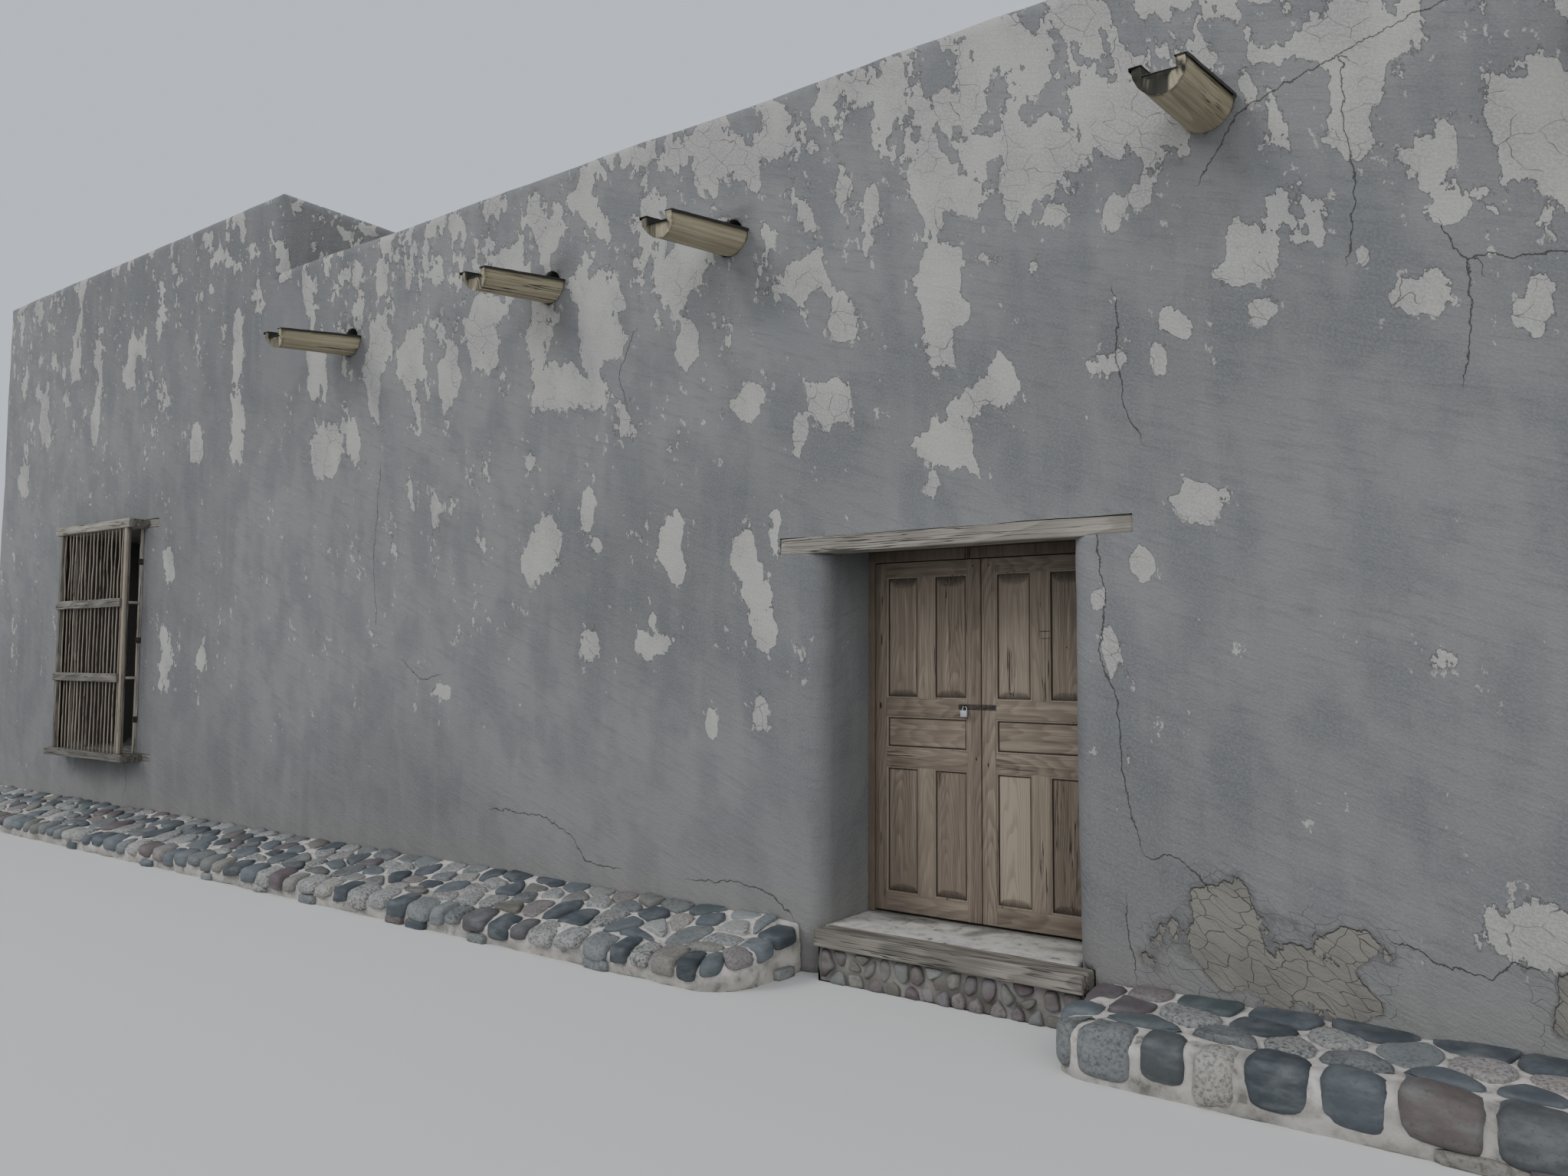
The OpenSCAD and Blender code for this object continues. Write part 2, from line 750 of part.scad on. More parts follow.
// Raised field of a panel, with bevels that meet in mitres at its corners
module panel_field(w, h, ends) {
  intersection() {
    linear_extrude(h) mirror([0, 1]) field_section(w, field_bevel);
    translate([0, 0, h]) rotate([0, 90, 0]) linear_extrude(w) mirror([0, 1]) field_section(h, ends);
  }
}

// One panel, thin at its edges and thick in its field
module leaf_panel(w, h, kind) {
  cube([w, panel_t, h]);
  translate([field_in, 0, field_in])
    panel_field(w - 2 * field_in, h - 2 * field_in, kind == "wide" ? field_bevel : end_bevel);
}

module leaf_panels() {
  grip = bead_w - groove_d;
  for (p = panels)
    translate([p[0] + grip, leaf_t / 2 - panel_t / 2, p[1] + grip])
      leaf_panel(p[2] - 2 * grip, p[3] - 2 * grip, p[4]);
}

module left_leaf_frame() {
  color(door_wood) left_leaf_place() leaf_frame();
}

module right_leaf_frame() {
  color(door_wood) right_leaf_place() leaf_frame();
}

module left_leaf_panels() {
  color(door_wood) left_leaf_place() leaf_panels();
}

module right_leaf_panels() {
  color(door_wood) right_leaf_place() leaf_panels();
}

// Hinges

hinge_zs = [leaf_z + hinge_inset, leaf_z + leaf_h / 2, leaf_top_z - hinge_inset];

// One solid hinge knuckle round the left hinge axis
module knuckle(z) {
  translate([-hinge_x, hinge_y, z]) cylinder(r = knuckle_r, h = knuckle_h);
}

// Middle knuckle with its plate on the back of the left leaf
module leaf_hinge(z) {
  difference() {
    union() {
      knuckle(z - knuckle_h / 2);
      translate([-hinge_x, leaf_back_y, z - knuckle_h / 2])
        cube([knuckle_r, hinge_y - leaf_back_y, knuckle_h]);
      translate([-leaf_edge_x + hinge_plate_in, leaf_back_y, z - hinge_plate_h / 2])
        cube([hinge_plate_w, hinge_plate_t, hinge_plate_h]);
    }
    translate([-hinge_x, hinge_y, z - hinge_plate_h]) cylinder(r = pin_r + pin_clear, h = 2 * hinge_plate_h);
  }
}

// Outer knuckles with the pin and the plate on the back of the left post
module frame_hinge(z) {
  step = knuckle_h + knuckle_gap;
  full_h = 3 * knuckle_h + 2 * knuckle_gap;
  translate([-hinge_x, hinge_y, z - full_h / 2]) cylinder(r = pin_r, h = full_h);
  for (dz = [-step, step]) {
    knuckle(z - knuckle_h / 2 + dz);
    translate([-hinge_x - knuckle_r, leaf_back_y, z - knuckle_h / 2 + dz])
      cube([knuckle_r, hinge_y - leaf_back_y, knuckle_h]);
  }
  translate([-post_x - hinge_plate_w, leaf_back_y, z - full_h / 2])
    cube([hinge_plate_w, hinge_plate_t, full_h]);
}

module frame_hinges() {
  color(iron) for (side = [0, 1], z = hinge_zs) mirror([side, 0, 0]) frame_hinge(z);
}

module left_leaf_hinges() {
  color(iron) for (z = hinge_zs) leaf_hinge(z);
}

module right_leaf_hinges() {
  color(iron) mirror([1, 0, 0]) for (z = hinge_zs) leaf_hinge(z);
}

// Hasp and padlock

// Plate of the hasp on the right leaf, up to the meeting line
module hasp_plate() {
  color(iron) translate([hasp_gap, leaf_front_y - hasp_t, hasp_z - hasp_h / 2]) {
    cube([hasp_right - hasp_gap, hasp_t, hasp_h]);
    translate([hasp_rib_in, 0, hasp_h / 2]) rotate([0, 90, 0])
      cylinder(r = hasp_t / 2, h = hasp_right - hasp_gap - 2 * hasp_rib_in);
  }
}

// Free end of the hasp on the left leaf, with the staple through it and the plate under it
module hasp_strap() {
  color(iron) {
    translate([-hasp_left, leaf_front_y - hasp_t, hasp_z - hasp_h / 2])
      cube([hasp_left - hasp_gap, hasp_t, hasp_h]);
    translate([-staple_x, leaf_front_y, hasp_z]) rotate([90, 0, 0]) {
      for (dz = [-staple_w / 2, staple_w / 2]) translate([0, dz, 0]) {
        cylinder(r = staple_r, h = staple_out);
        translate([0, 0, staple_out]) sphere(r = staple_r);
      }
      translate([0, -staple_w / 2, staple_out]) rotate([-90, 0, 0]) cylinder(r = staple_r, h = staple_w);
    }
  }
}

// Padlock hanging from the staple, with its shackle's bow through it
module padlock() {
  arm_x = padlock_w / 2 - shackle_in;
  bow_z = hasp_z + staple_w / 2 - staple_r - seat - arm_x - shackle_r;
  body_top = bow_z + arm_x + shackle_r - shackle_rise;
  color(steel) translate([-staple_x, leaf_front_y - staple_out + staple_r + shackle_r + seat, 0]) {
    translate([-padlock_w / 2, -padlock_t + shackle_r, body_top - padlock_h])
      cube([padlock_w, padlock_t, padlock_h]);
    for (x = [-arm_x, arm_x]) translate([x, 0, body_top - eps])
      cylinder(r = shackle_r, h = bow_z - body_top + eps);
    translate([0, 0, bow_z]) rotate([90, 0, 0]) intersection() {
      rotate_extrude() translate([arm_x, 0]) circle(r = shackle_r);
      translate([-2 * arm_x, 0, -2 * shackle_r]) cube([4 * arm_x, 2 * arm_x, 4 * shackle_r]);
    }
  }
}

// Windows

module window_lintels() {
  color(grey_wood) for (x = [-window_x, window_x])
    translate([x - window_w / 2 - window_bearing, front_y, cage_top_z])
      cube([window_w + 2 * window_bearing, wall_t, cage_top_h]);
}

module window_sills() {
  color(grey_wood) for (x = [-window_x, window_x])
    translate([x - window_w / 2 - window_bearing, front_y, window_z - cage_foot_h])
      cube([window_w + 2 * window_bearing, sill_t, cage_foot_h]);
}

// Boards, posts and rails of one cage, centred on the window
module window_cage() {
  half = cage_w / 2;
  translate([-half - cage_top_past, -cage_out - cage_top_lip, cage_top_z])
    cube([cage_w + 2 * cage_top_past, cage_out + cage_top_lip, cage_top_h]);
  translate([-half - cage_foot_past, -cage_out - cage_foot_lip, window_z - cage_foot_h])
    cube([cage_w + 2 * cage_foot_past, cage_out + cage_foot_lip, cage_foot_h]);
  for (side = [0, 1]) mirror([side, 0, 0]) {
    translate([half - cage_post, -cage_out, window_z]) cube([cage_post, cage_post, window_h]);
    translate([half - wall_post, -wall_post, window_z]) cube([wall_post, wall_post, window_h]);
    for (z = [cage_rail_1_z, cage_rail_2_z])
      translate([half - side_rail_h, -cage_out + cage_post, z + cage_rail_h / 2 - side_rail_h / 2])
        cube([side_rail_h, cage_out - cage_post - wall_post, side_rail_h]);
  }
  for (z = [cage_rail_1_z, cage_rail_2_z])
    translate([-half, -cage_out - cage_rail_t, z]) cube([cage_w, cage_rail_t, cage_rail_h]);
}

module left_window_cage() {
  color(grey_wood) translate([-window_x, front_y, 0]) window_cage();
}

module right_window_cage() {
  color(grey_wood) translate([window_x, front_y, 0]) window_cage();
}

// Iron straps from the thin posts to the wall
module cage_straps() {
  color(iron) for (x = [-window_x, window_x], side = [0, 1], share = strap_shares)
    translate([x, front_y, window_z + window_h * share]) mirror([side, 0, 0])
      translate([cage_w / 2, -wall_post - strap_past, -strap_h / 2])
        cube([strap_t, wall_post + strap_past, strap_h]);
}

// Roof spouts

// Moves a spout's own frame, with its centre line along Y, to the wall face at x
module spout_place(x) {
  translate([x, front_y, spout_z - spout_flat]) rotate([spout_slope, 0, 0]) children();
}

// Tapered log from behind the parapet to the spout's tip, cut flat along its top.
// It can be grown all round, and run on inwards with the same taper.
module spout_log(grow, past) {
  taper = (spout_r - spout_tip_r) / spout_l;
  intersection() {
    translate([0, spout_l - spout_out + past, 0]) rotate([90, 0, 0])
      cylinder(r1 = spout_r + taper * past + grow, r2 = spout_tip_r + grow, h = spout_l + past);
    translate([-spout_r * 2, -spout_out * 2, -spout_r * 2])
      cube([spout_r * 4, spout_out * 4, spout_r * 2 + spout_flat + grow]);
  }
}

module spout(x) {
  color(grey_wood) difference() {
    spout_place(x) difference() {
      spout_log(0, 0);
      translate([-channel_w / 2, -spout_out * 2, spout_flat - channel_d])
        cube([channel_w, spout_out * 4, channel_d + eps]);
    }
    translate([x - spout_r * 2, front_y + parapet_t - seat, 0]) cube([spout_r * 4, parapet_t, block_h]);
  }
}

// Metal liner folded into each channel and over its rims
module spout_liners() {
  inner = parapet_t - 2 * liner_back;
  color(iron) for (x = spout_xs) spout_place(x) rotate([90, 0, 0]) translate([0, 0, -inner])
    linear_extrude(inner + spout_out - liner_back) difference() {
      translate([-channel_w / 2 - liner_lip, spout_flat - channel_d])
        square([channel_w + 2 * liner_lip, channel_d + liner_t]);
      translate([-channel_w / 2 + liner_t, spout_flat - channel_d + liner_t])
        square([channel_w - 2 * liner_t, channel_d + eps]);
      for (side = [0, 1]) mirror([side, 0]) translate([channel_w / 2, spout_flat - channel_d - eps])
        square([liner_lip + eps, channel_d + eps]);
    }
}

front_wall_left();
front_wall_right();
front_wall_over_door();
left_block_front_wall();
right_block_front_wall();
left_end_wall();
right_end_wall();
back_wall();
left_block_back_wall();
right_block_back_wall();
left_cross_wall();
right_cross_wall();
main_roof();
left_block_roof();
right_block_roof();
roof_logs();
floors();
front_plinth_left();
front_plinth_right();
left_end_plinth();
right_end_plinth();
back_plinth();
door_lintel();
door_soffit();
door_frame();
threshold_beam();
threshold_slab();
left_leaf_frame();
left_leaf_panels();
right_leaf_frame();
right_leaf_panels();
frame_hinges();
left_leaf_hinges();
right_leaf_hinges();
hasp_plate();
hasp_strap();
padlock();
window_lintels();
window_sills();
left_window_cage();
right_window_cage();
cage_straps();
spout(spout_xs[0]);  // spout_1
spout(spout_xs[1]);  // spout_2
spout(spout_xs[2]);  // spout_3
spout(spout_xs[3]);  // spout_4
spout(spout_xs[4]);  // spout_5
spout(spout_xs[5]);  // spout_6
spout_liners();
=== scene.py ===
import math
import random

import bmesh
import bpy
import numpy as np
from mathutils import Matrix, Vector, noise


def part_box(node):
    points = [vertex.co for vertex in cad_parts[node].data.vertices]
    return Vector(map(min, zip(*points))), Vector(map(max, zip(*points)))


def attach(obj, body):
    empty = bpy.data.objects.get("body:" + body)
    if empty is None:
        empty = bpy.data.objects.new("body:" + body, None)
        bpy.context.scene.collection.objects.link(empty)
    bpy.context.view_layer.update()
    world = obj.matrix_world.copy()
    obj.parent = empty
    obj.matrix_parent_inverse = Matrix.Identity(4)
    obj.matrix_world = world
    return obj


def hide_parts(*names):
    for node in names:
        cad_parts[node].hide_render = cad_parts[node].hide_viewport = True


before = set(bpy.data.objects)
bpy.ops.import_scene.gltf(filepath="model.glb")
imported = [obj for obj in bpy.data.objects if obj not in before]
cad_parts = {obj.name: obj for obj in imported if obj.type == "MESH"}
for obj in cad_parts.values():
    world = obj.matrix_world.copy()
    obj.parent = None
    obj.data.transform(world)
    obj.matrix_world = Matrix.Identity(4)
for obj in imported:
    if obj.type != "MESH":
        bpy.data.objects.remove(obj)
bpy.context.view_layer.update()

# The noise's own offsets are drawn from this seed, so that each run gives the same shapes
NOISE_SEED = 5
noise.seed_set(NOISE_SEED)

# Driving places, read from the frame, in metres
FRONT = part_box("back_wall")[1].y * -1
BACK = -FRONT
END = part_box("right_end_wall")[1].x
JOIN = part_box("back_wall")[1].x
MAIN_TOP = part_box("back_wall")[1].z
BLOCK_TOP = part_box("left_end_wall")[1].z
DOOR_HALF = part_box("front_wall_right")[0].x
SPOUT_MIDDLES = [(lo.x + hi.x) / 2 for lo, hi in (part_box(f"spout_{i}") for i in range(1, 7))]

# The photograph's viewpoint: place, heading to the left of +Y, tilt up and roll
EYE = (3.015, -8.6, 1.78)
HEADING, TILT, ROLL = 36.32, 3.66, 0.34
LENS, SENSOR, FAR = 26.39, 36, 400

# Soft lights: name, strength, angle, turn about Z, lean from straight down, colour
SUNS = [
    ("key", 1.15, 25, -38, 52, (1.0, 0.97, 0.93)),
    ("fill", 1.1, 60, 46, 66, (1.0, 0.97, 0.94)),
    ("rim", 0.7, 40, 150, 60, (1.0, 0.95, 0.88)),
]
SKY_COLOR, SKY_STRENGTH = (0.80, 0.86, 0.95, 1), 0.80
FLOOR_COLOR, FLOOR_ROUGH, FLOOR_HALF = (0.62, 0.62, 0.61, 1), 0.9, 150


def photo_camera():
    """Camera at the photograph's viewpoint, on a 36 mm wide sensor."""
    yaw, tilt, roll = (math.radians(v) for v in (HEADING, TILT, ROLL))
    ahead = Vector((-math.sin(yaw) * math.cos(tilt), math.cos(yaw) * math.cos(tilt), math.sin(tilt)))
    right = Vector((math.cos(yaw), math.sin(yaw), 0))
    above = right.cross(ahead)
    across = right * math.cos(roll) + above * math.sin(roll)
    up = above * math.cos(roll) - right * math.sin(roll)
    data = bpy.data.cameras.new("photo_view")
    data.lens = LENS
    data.sensor_width = SENSOR
    data.clip_end = FAR
    camera = bpy.data.objects.new("photo_view", data)
    camera.matrix_world = Matrix.Translation(EYE) @ Matrix((across, up, -ahead)).transposed().to_4x4()
    bpy.context.scene.collection.objects.link(camera)
    bpy.context.scene.camera = camera


def soft_sun(name, strength, angle, turn, lean, color):
    """Broad soft light from far away, turned about Z and leaning from straight down."""
    data = bpy.data.lights.new(name, "SUN")
    data.energy = strength
    data.angle = math.radians(angle)
    data.color = color
    light = bpy.data.objects.new(name, data)
    light.rotation_euler = (math.radians(lean), 0, math.radians(turn))
    bpy.context.scene.collection.objects.link(light)


def studio():
    """Pale floor and soft light, brightest from the upper left of the front."""
    world = bpy.data.worlds.new("studio")
    world.use_nodes = True
    background = world.node_tree.nodes["Background"]
    background.inputs["Color"].default_value = SKY_COLOR
    background.inputs["Strength"].default_value = SKY_STRENGTH
    bpy.context.scene.world = world
    for sun in SUNS:
        soft_sun(*sun)
    bm = bmesh.new()
    bmesh.ops.create_grid(bm, x_segments=1, y_segments=1, size=FLOOR_HALF)
    mesh = bpy.data.meshes.new("studio_floor")
    bm.to_mesh(mesh)
    bm.free()
    floor = bpy.data.objects.new("studio_floor", mesh)
    bpy.context.scene.collection.objects.link(floor)
    pale = bpy.data.materials.new("pale_floor")
    pale.use_nodes = True
    shader = pale.node_tree.nodes["Principled BSDF"]
    shader.inputs["Base Color"].default_value = FLOOR_COLOR
    shader.inputs["Roughness"].default_value = FLOOR_ROUGH
    mesh.materials.append(pale)


# Material helpers

FLOAT, VECTOR = "NodeSocketFloat", "NodeSocketVector"
# Sockets of a mix node that is set to colours
MIX_SHARE, MIX_FIRST, MIX_SECOND, MIX_RESULT = 0, 6, 7, 2


def tone(code):
    """Linear colour of a six-digit sRGB code."""
    channels = [int(code[i:i + 2], 16) / 255 for i in (0, 2, 4)]
    linear = [c / 12.92 if c <= 0.04045 else ((c + 0.055) / 1.055) ** 2.4 for c in channels]
    return (*linear, 1)


def put(tree, kind, wires=None, **settings):
    """New node with its settings, and its inputs set or linked by name or number."""
    made = tree.nodes.new(kind)
    for name, value in settings.items():
        setattr(made, name, value)
    for name, value in (wires or {}).items():
        if isinstance(value, bpy.types.NodeSocket):
            tree.links.new(value, made.inputs[name])
        else:
            made.inputs[name].default_value = value
    return made


def calc(tree, operation, *values):
    """Math node's result."""
    wires = {i: value for i, value in enumerate(values)}
    return put(tree, "ShaderNodeMath", wires, operation=operation).outputs[0]


def ramp(tree, value, low, high, start=0.0, end=1.0):
    """Smooth step from start to end as value goes from low to high."""
    wires = {"Value": value, "From Min": low, "From Max": high, "To Min": start, "To Max": end}
    return put(tree, "ShaderNodeMapRange", wires, interpolation_type="SMOOTHSTEP").outputs["Result"]


def blend_color(tree, share, first, second):
    """Colour mixed from first to second."""
    wires = {MIX_SHARE: share, MIX_FIRST: first, MIX_SECOND: second}
    return put(tree, "ShaderNodeMix", wires, data_type="RGBA").outputs[MIX_RESULT]


def cloud(tree, vector, scale, detail=3.0, roughness=0.55):
    """Fractal noise value."""
    wires = {"Vector": vector, "Scale": scale, "Detail": detail, "Roughness": roughness}
    return put(tree, "ShaderNodeTexNoise", wires).outputs["Fac"]


def stretched(tree, vector, scale):
    """Coordinates scaled by three factors."""
    return put(tree, "ShaderNodeMapping", {"Vector": vector, "Scale": scale}).outputs["Vector"]


def field(tree, name):
    """Value of one of the piece's own attributes."""
    return put(tree, "ShaderNodeAttribute", attribute_name=name).outputs["Fac"]


def new_group(name, inputs, outputs):
    """Shader group with named sockets. Returns it with its input and output nodes."""
    group = bpy.data.node_groups.new(name, "ShaderNodeTree")
    for label, kind, value in inputs:
        made = group.interface.new_socket(label, in_out="INPUT", socket_type=kind)
        if value is not None:
            made.default_value = value
    for label, kind in outputs:
        group.interface.new_socket(label, in_out="OUTPUT", socket_type=kind)
    return group, group.nodes.new("NodeGroupInput").outputs, group.nodes.new("NodeGroupOutput").inputs


def use_group(tree, group, wires):
    """Places a group and returns its outputs."""
    return put(tree, "ShaderNodeGroup", wires, node_tree=group).outputs


def new_material(name):
    """Material with its shader, its tree and its object coordinates."""
    made = bpy.data.materials.new(name)
    made.use_nodes = True
    tree = made.node_tree
    place = put(tree, "ShaderNodeTexCoord").outputs["Object"]
    return made, tree, tree.nodes["Principled BSDF"], place


def finish_surface(tree, shader, color, roughness, height):
    """Links a colour, a roughness and a height in metres to the shader."""
    bump = put(tree, "ShaderNodeBump", {"Height": height, "Strength": 1.0, "Distance": 1.0})
    tree.links.new(color, shader.inputs["Base Color"])
    tree.links.new(bump.outputs["Normal"], shader.inputs["Normal"])
    if isinstance(roughness, bpy.types.NodeSocket):
        tree.links.new(roughness, shader.inputs["Roughness"])
    else:
        shader.inputs["Roughness"].default_value = roughness


def grit_group():
    """Fine sand and straw pits, as a height in metres and a mottling value."""
    inputs = [("Vector", VECTOR, None), ("Depth", FLOAT, 0.001)]
    group, given, out = new_group("sand_grit", inputs, [("Height", FLOAT), ("Mottle", FLOAT)])
    coarse = cloud(group, given["Vector"], 55.0, 4.0, 0.65)
    fine = cloud(group, given["Vector"], 240.0, 2.0, 0.6)
    both = calc(group, "ADD", coarse, calc(group, "MULTIPLY", fine, 0.45))
    group.links.new(calc(group, "MULTIPLY", both, given["Depth"]), out["Height"])
    group.links.new(coarse, out["Mottle"])
    return group


GRIT = grit_group()

# Mud plaster of the walls

# Colours of the coat, of the layer beneath it, of bare adobe and of what marks them; the stain colour also
# paints shade inside the walls and in the window openings, and the crack colour also paints shadow along the
# coat's broken edges
COAT_DARK, COAT_PALE, COAT_DEEP, COAT_STREAK = "6c6d6e", "7a7b7c", "5a5c5e", "858686"
UNDER_PALE, UNDER_DARK, UNDER_SAND = "a09f9b", "8e8e8b", "b0afab"
ADOBE_DARK, ADOBE_PALE = "6c6a65", "7c7a73"
MENDED, STAIN_AND_SHADE_DARK, EARTH_DUST, CRACK_AND_SHADOW_DARK = "767778", "322e2a", "837f78", "34302e"
# Slants that carry the pattern along both kinds of wall and over their tops
WALL_ALONG, WALL_UP = (1, 1, 0), (0.35, -0.35, 1)


def along_axis(tree, place, axis):
    """How far a place lies along a slanting axis."""
    return put(tree, "ShaderNodeVectorMath", {0: place, 1: axis}, operation="DOT_PRODUCT").outputs["Value"]


def wall_plane(tree, place):
    """Flat coordinates that run along any upright wall, and slantwise over its top."""
    wires = {0: along_axis(tree, place, WALL_ALONG), 1: along_axis(tree, place, WALL_UP)}
    return put(tree, "ShaderNodeCombineXYZ", wires).outputs[0]


def flat_cloud(tree, vector, scale, detail=3.0, roughness=0.55, output="Fac"):
    """Fractal noise over flat coordinates."""
    wires = {"Vector": vector, "Scale": scale, "Detail": detail, "Roughness": roughness}
    return put(tree, "ShaderNodeTexNoise", wires, noise_dimensions="2D").outputs[output]


def cell_edges(tree, vector, scale):
    """Distance to the nearest edge of a flat net of cells."""
    return put(tree, "ShaderNodeTexVoronoi", {"Vector": vector, "Scale": scale}, feature="DISTANCE_TO_EDGE",
               voronoi_dimensions="2D").outputs["Distance"]


def mud_plaster():
    """Grey mud coat that flakes off in crisp patches, with cracks, stains, repairs and bare adobe, painted
    shadow along the coat's broken edges and painted shade inside the walls and in the window openings.
    """
    made, tree, shader, place = new_material("mud_plaster")
    flat = wall_plane(tree, place)
    tall = stretched(tree, flat, (1.0, 0.70, 1.0))
    flake = field(tree, "flake")
    sand = flat_cloud(tree, flat, 78.0, 3.0, 0.68)
    ragged = flat_cloud(tree, tall, 3.7, 5.0, 0.56)
    medium = flat_cloud(tree, tall, 2.7, 3.0)
    spots = flat_cloud(tree, tall, 15.0, 4.0, 0.66)
    streak = flat_cloud(tree, stretched(tree, flat, (7, 0.9, 1)), 1.0, 3.0)
    trowel = flat_cloud(tree, stretched(tree, flat, (3.5, 26, 1)), 1.0, 4.0, 0.65)

    lift = calc(tree, "MULTIPLY_ADD", ragged, 2.2, calc(tree, "MULTIPLY_ADD", spots, 0.42, -1.31))
    lift = calc(tree, "ADD", lift, flake)
    gone = ramp(tree, lift, 0.49, 0.51)
    # A thin band on the coat just outside each flake: painted shadow under the lip of the coat
    rim = calc(tree, "SUBTRACT", ramp(tree, lift, 0.445, 0.49), gone)
    fleck_lift = calc(tree, "MULTIPLY_ADD", spots, 1.9, calc(tree, "MULTIPLY_ADD", ragged, 1.2, -1.50))
    fleck = ramp(tree, calc(tree, "MULTIPLY_ADD", flake, 0.45, fleck_lift), 0.46, 0.49)
    light = calc(tree, "MAXIMUM", gone, fleck)
    bare_lift = calc(tree, "MULTIPLY_ADD", ragged, 1.1, calc(tree, "SUBTRACT", field(tree, "bare"), 0.55))
    bare = ramp(tree, bare_lift, 0.48, 0.52)
    # A band just outside the bare adobe: painted shadow under the coat's broken edge
    bare_edge_shadow = calc(tree, "SUBTRACT", ramp(tree, bare_lift, 0.38, 0.48), bare)

    coat = blend_color(tree, ramp(tree, field(tree, "drift"), -0.4, 0.4), tone(COAT_DARK), tone(COAT_PALE))
    coat = blend_color(tree, ramp(tree, medium, 0.38, 0.66, 0.0, 0.42), coat, tone(COAT_DEEP))
    coat = blend_color(tree, ramp(tree, streak, 0.45, 0.75, 0.0, 0.20), coat, tone(COAT_STREAK))
    coat = blend_color(tree, ramp(tree, trowel, 0.52, 0.70, 0.0, 0.28), coat, tone(COAT_DEEP))
    coat = blend_color(tree, ramp(tree, sand, 0.40, 0.68, 0.0, 0.35), coat, tone(COAT_STREAK))
    under = blend_color(tree, ramp(tree, medium, 0.3, 0.7), tone(UNDER_PALE), tone(UNDER_DARK))
    under = blend_color(tree, ramp(tree, sand, 0.40, 0.65, 0.0, 0.5), under, tone(UNDER_SAND))
    color = blend_color(tree, light, coat, under)

    push = flat_cloud(tree, flat, 5.0, 2.0, 0.5, "Color")
    wires = {0: push, 1: (0.14, 0.14, 0), 2: flat}
    bent = put(tree, "ShaderNodeVectorMath", wires, operation="MULTIPLY_ADD").outputs[0]
    bent = stretched(tree, bent, (1, 1.45, 1))
    cells = cell_edges(tree, bent, 6.5)
    craze = calc(tree, "MULTIPLY", ramp(tree, cells, 0.006, 0.017, 1.0, 0.0), ramp(tree, medium, 0.46, 0.56))
    craze = calc(tree, "MULTIPLY", craze, ramp(tree, gone, 0.0, 1.0, 0.10, 0.9))
    flatter = stretched(tree, bent, (1.0, 1.35, 1.0))
    bricks = cell_edges(tree, flatter, 9.5)
    dried = ramp(tree, calc(tree, "MULTIPLY_ADD", spots, 0.5, field(tree, "bare")), 0.22, 0.62)
    joint = calc(tree, "MULTIPLY", ramp(tree, bricks, 0.006, 0.022, 1.0, 0.0),
                 calc(tree, "MAXIMUM", bare, calc(tree, "MULTIPLY", dried, 0.55)))
    wander = calc(tree, "MULTIPLY_ADD", spots, 0.05, calc(tree, "MULTIPLY_ADD", ragged, 0.06, -0.055))
    offset = calc(tree, "ABSOLUTE", calc(tree, "ADD", field(tree, "crack"), wander))
    drawn = calc(tree, "MULTIPLY", ramp(tree, offset, 0.0010, 0.0042, 1.0, 0.0), field(tree, "crack_on"))
    lines = calc(tree, "MAXIMUM", craze, drawn)

    adobe = blend_color(tree, ramp(tree, medium, 0.35, 0.65), tone(ADOBE_DARK), tone(ADOBE_PALE))
    color = blend_color(tree, bare, color, adobe)
    color = blend_color(tree, calc(tree, "MULTIPLY", field(tree, "repair"), 0.5), color, tone(MENDED))
    # Darkens towards the stain colour: marks under the spouts and below the windows, and painted shade inside
    # the walls and in the window openings
    color = blend_color(tree, calc(tree, "MULTIPLY", field(tree, "stain_and_shade"), 0.85), color, tone(STAIN_AND_SHADE_DARK))
    color = blend_color(tree, calc(tree, "MULTIPLY", field(tree, "dust"), 0.45), color, tone(EARTH_DUST))
    # Painted shadow at the edges of the flakes and the bare adobe, mixed with the real cracks and joints, all
    # towards one dark colour
    dark = calc(tree, "MAXIMUM", calc(tree, "MULTIPLY", rim, 0.40), calc(tree, "MULTIPLY", lines, 0.75))
    dark = calc(tree, "MAXIMUM", dark, calc(tree, "MULTIPLY", joint, 0.70))
    dark = calc(tree, "MAXIMUM", dark, calc(tree, "MULTIPLY", bare_edge_shadow, 0.28))
    color = blend_color(tree, dark, color, tone(CRACK_AND_SHADOW_DARK))

    height = calc(tree, "MULTIPLY", gone, -0.0035)
    for value, depth in ((bare, -0.012), (drawn, -0.004), (medium, 0.010), (sand, 0.0036), (trowel, 0.0040),
                         (joint, -0.003)):
        height = calc(tree, "MULTIPLY_ADD", value, depth, height)
    finish_surface(tree, shader, color, 0.93, height)
    shader.inputs["Specular IOR Level"].default_value = 0.25
    return made


PLASTER = mud_plaster()

# Timber and iron materials

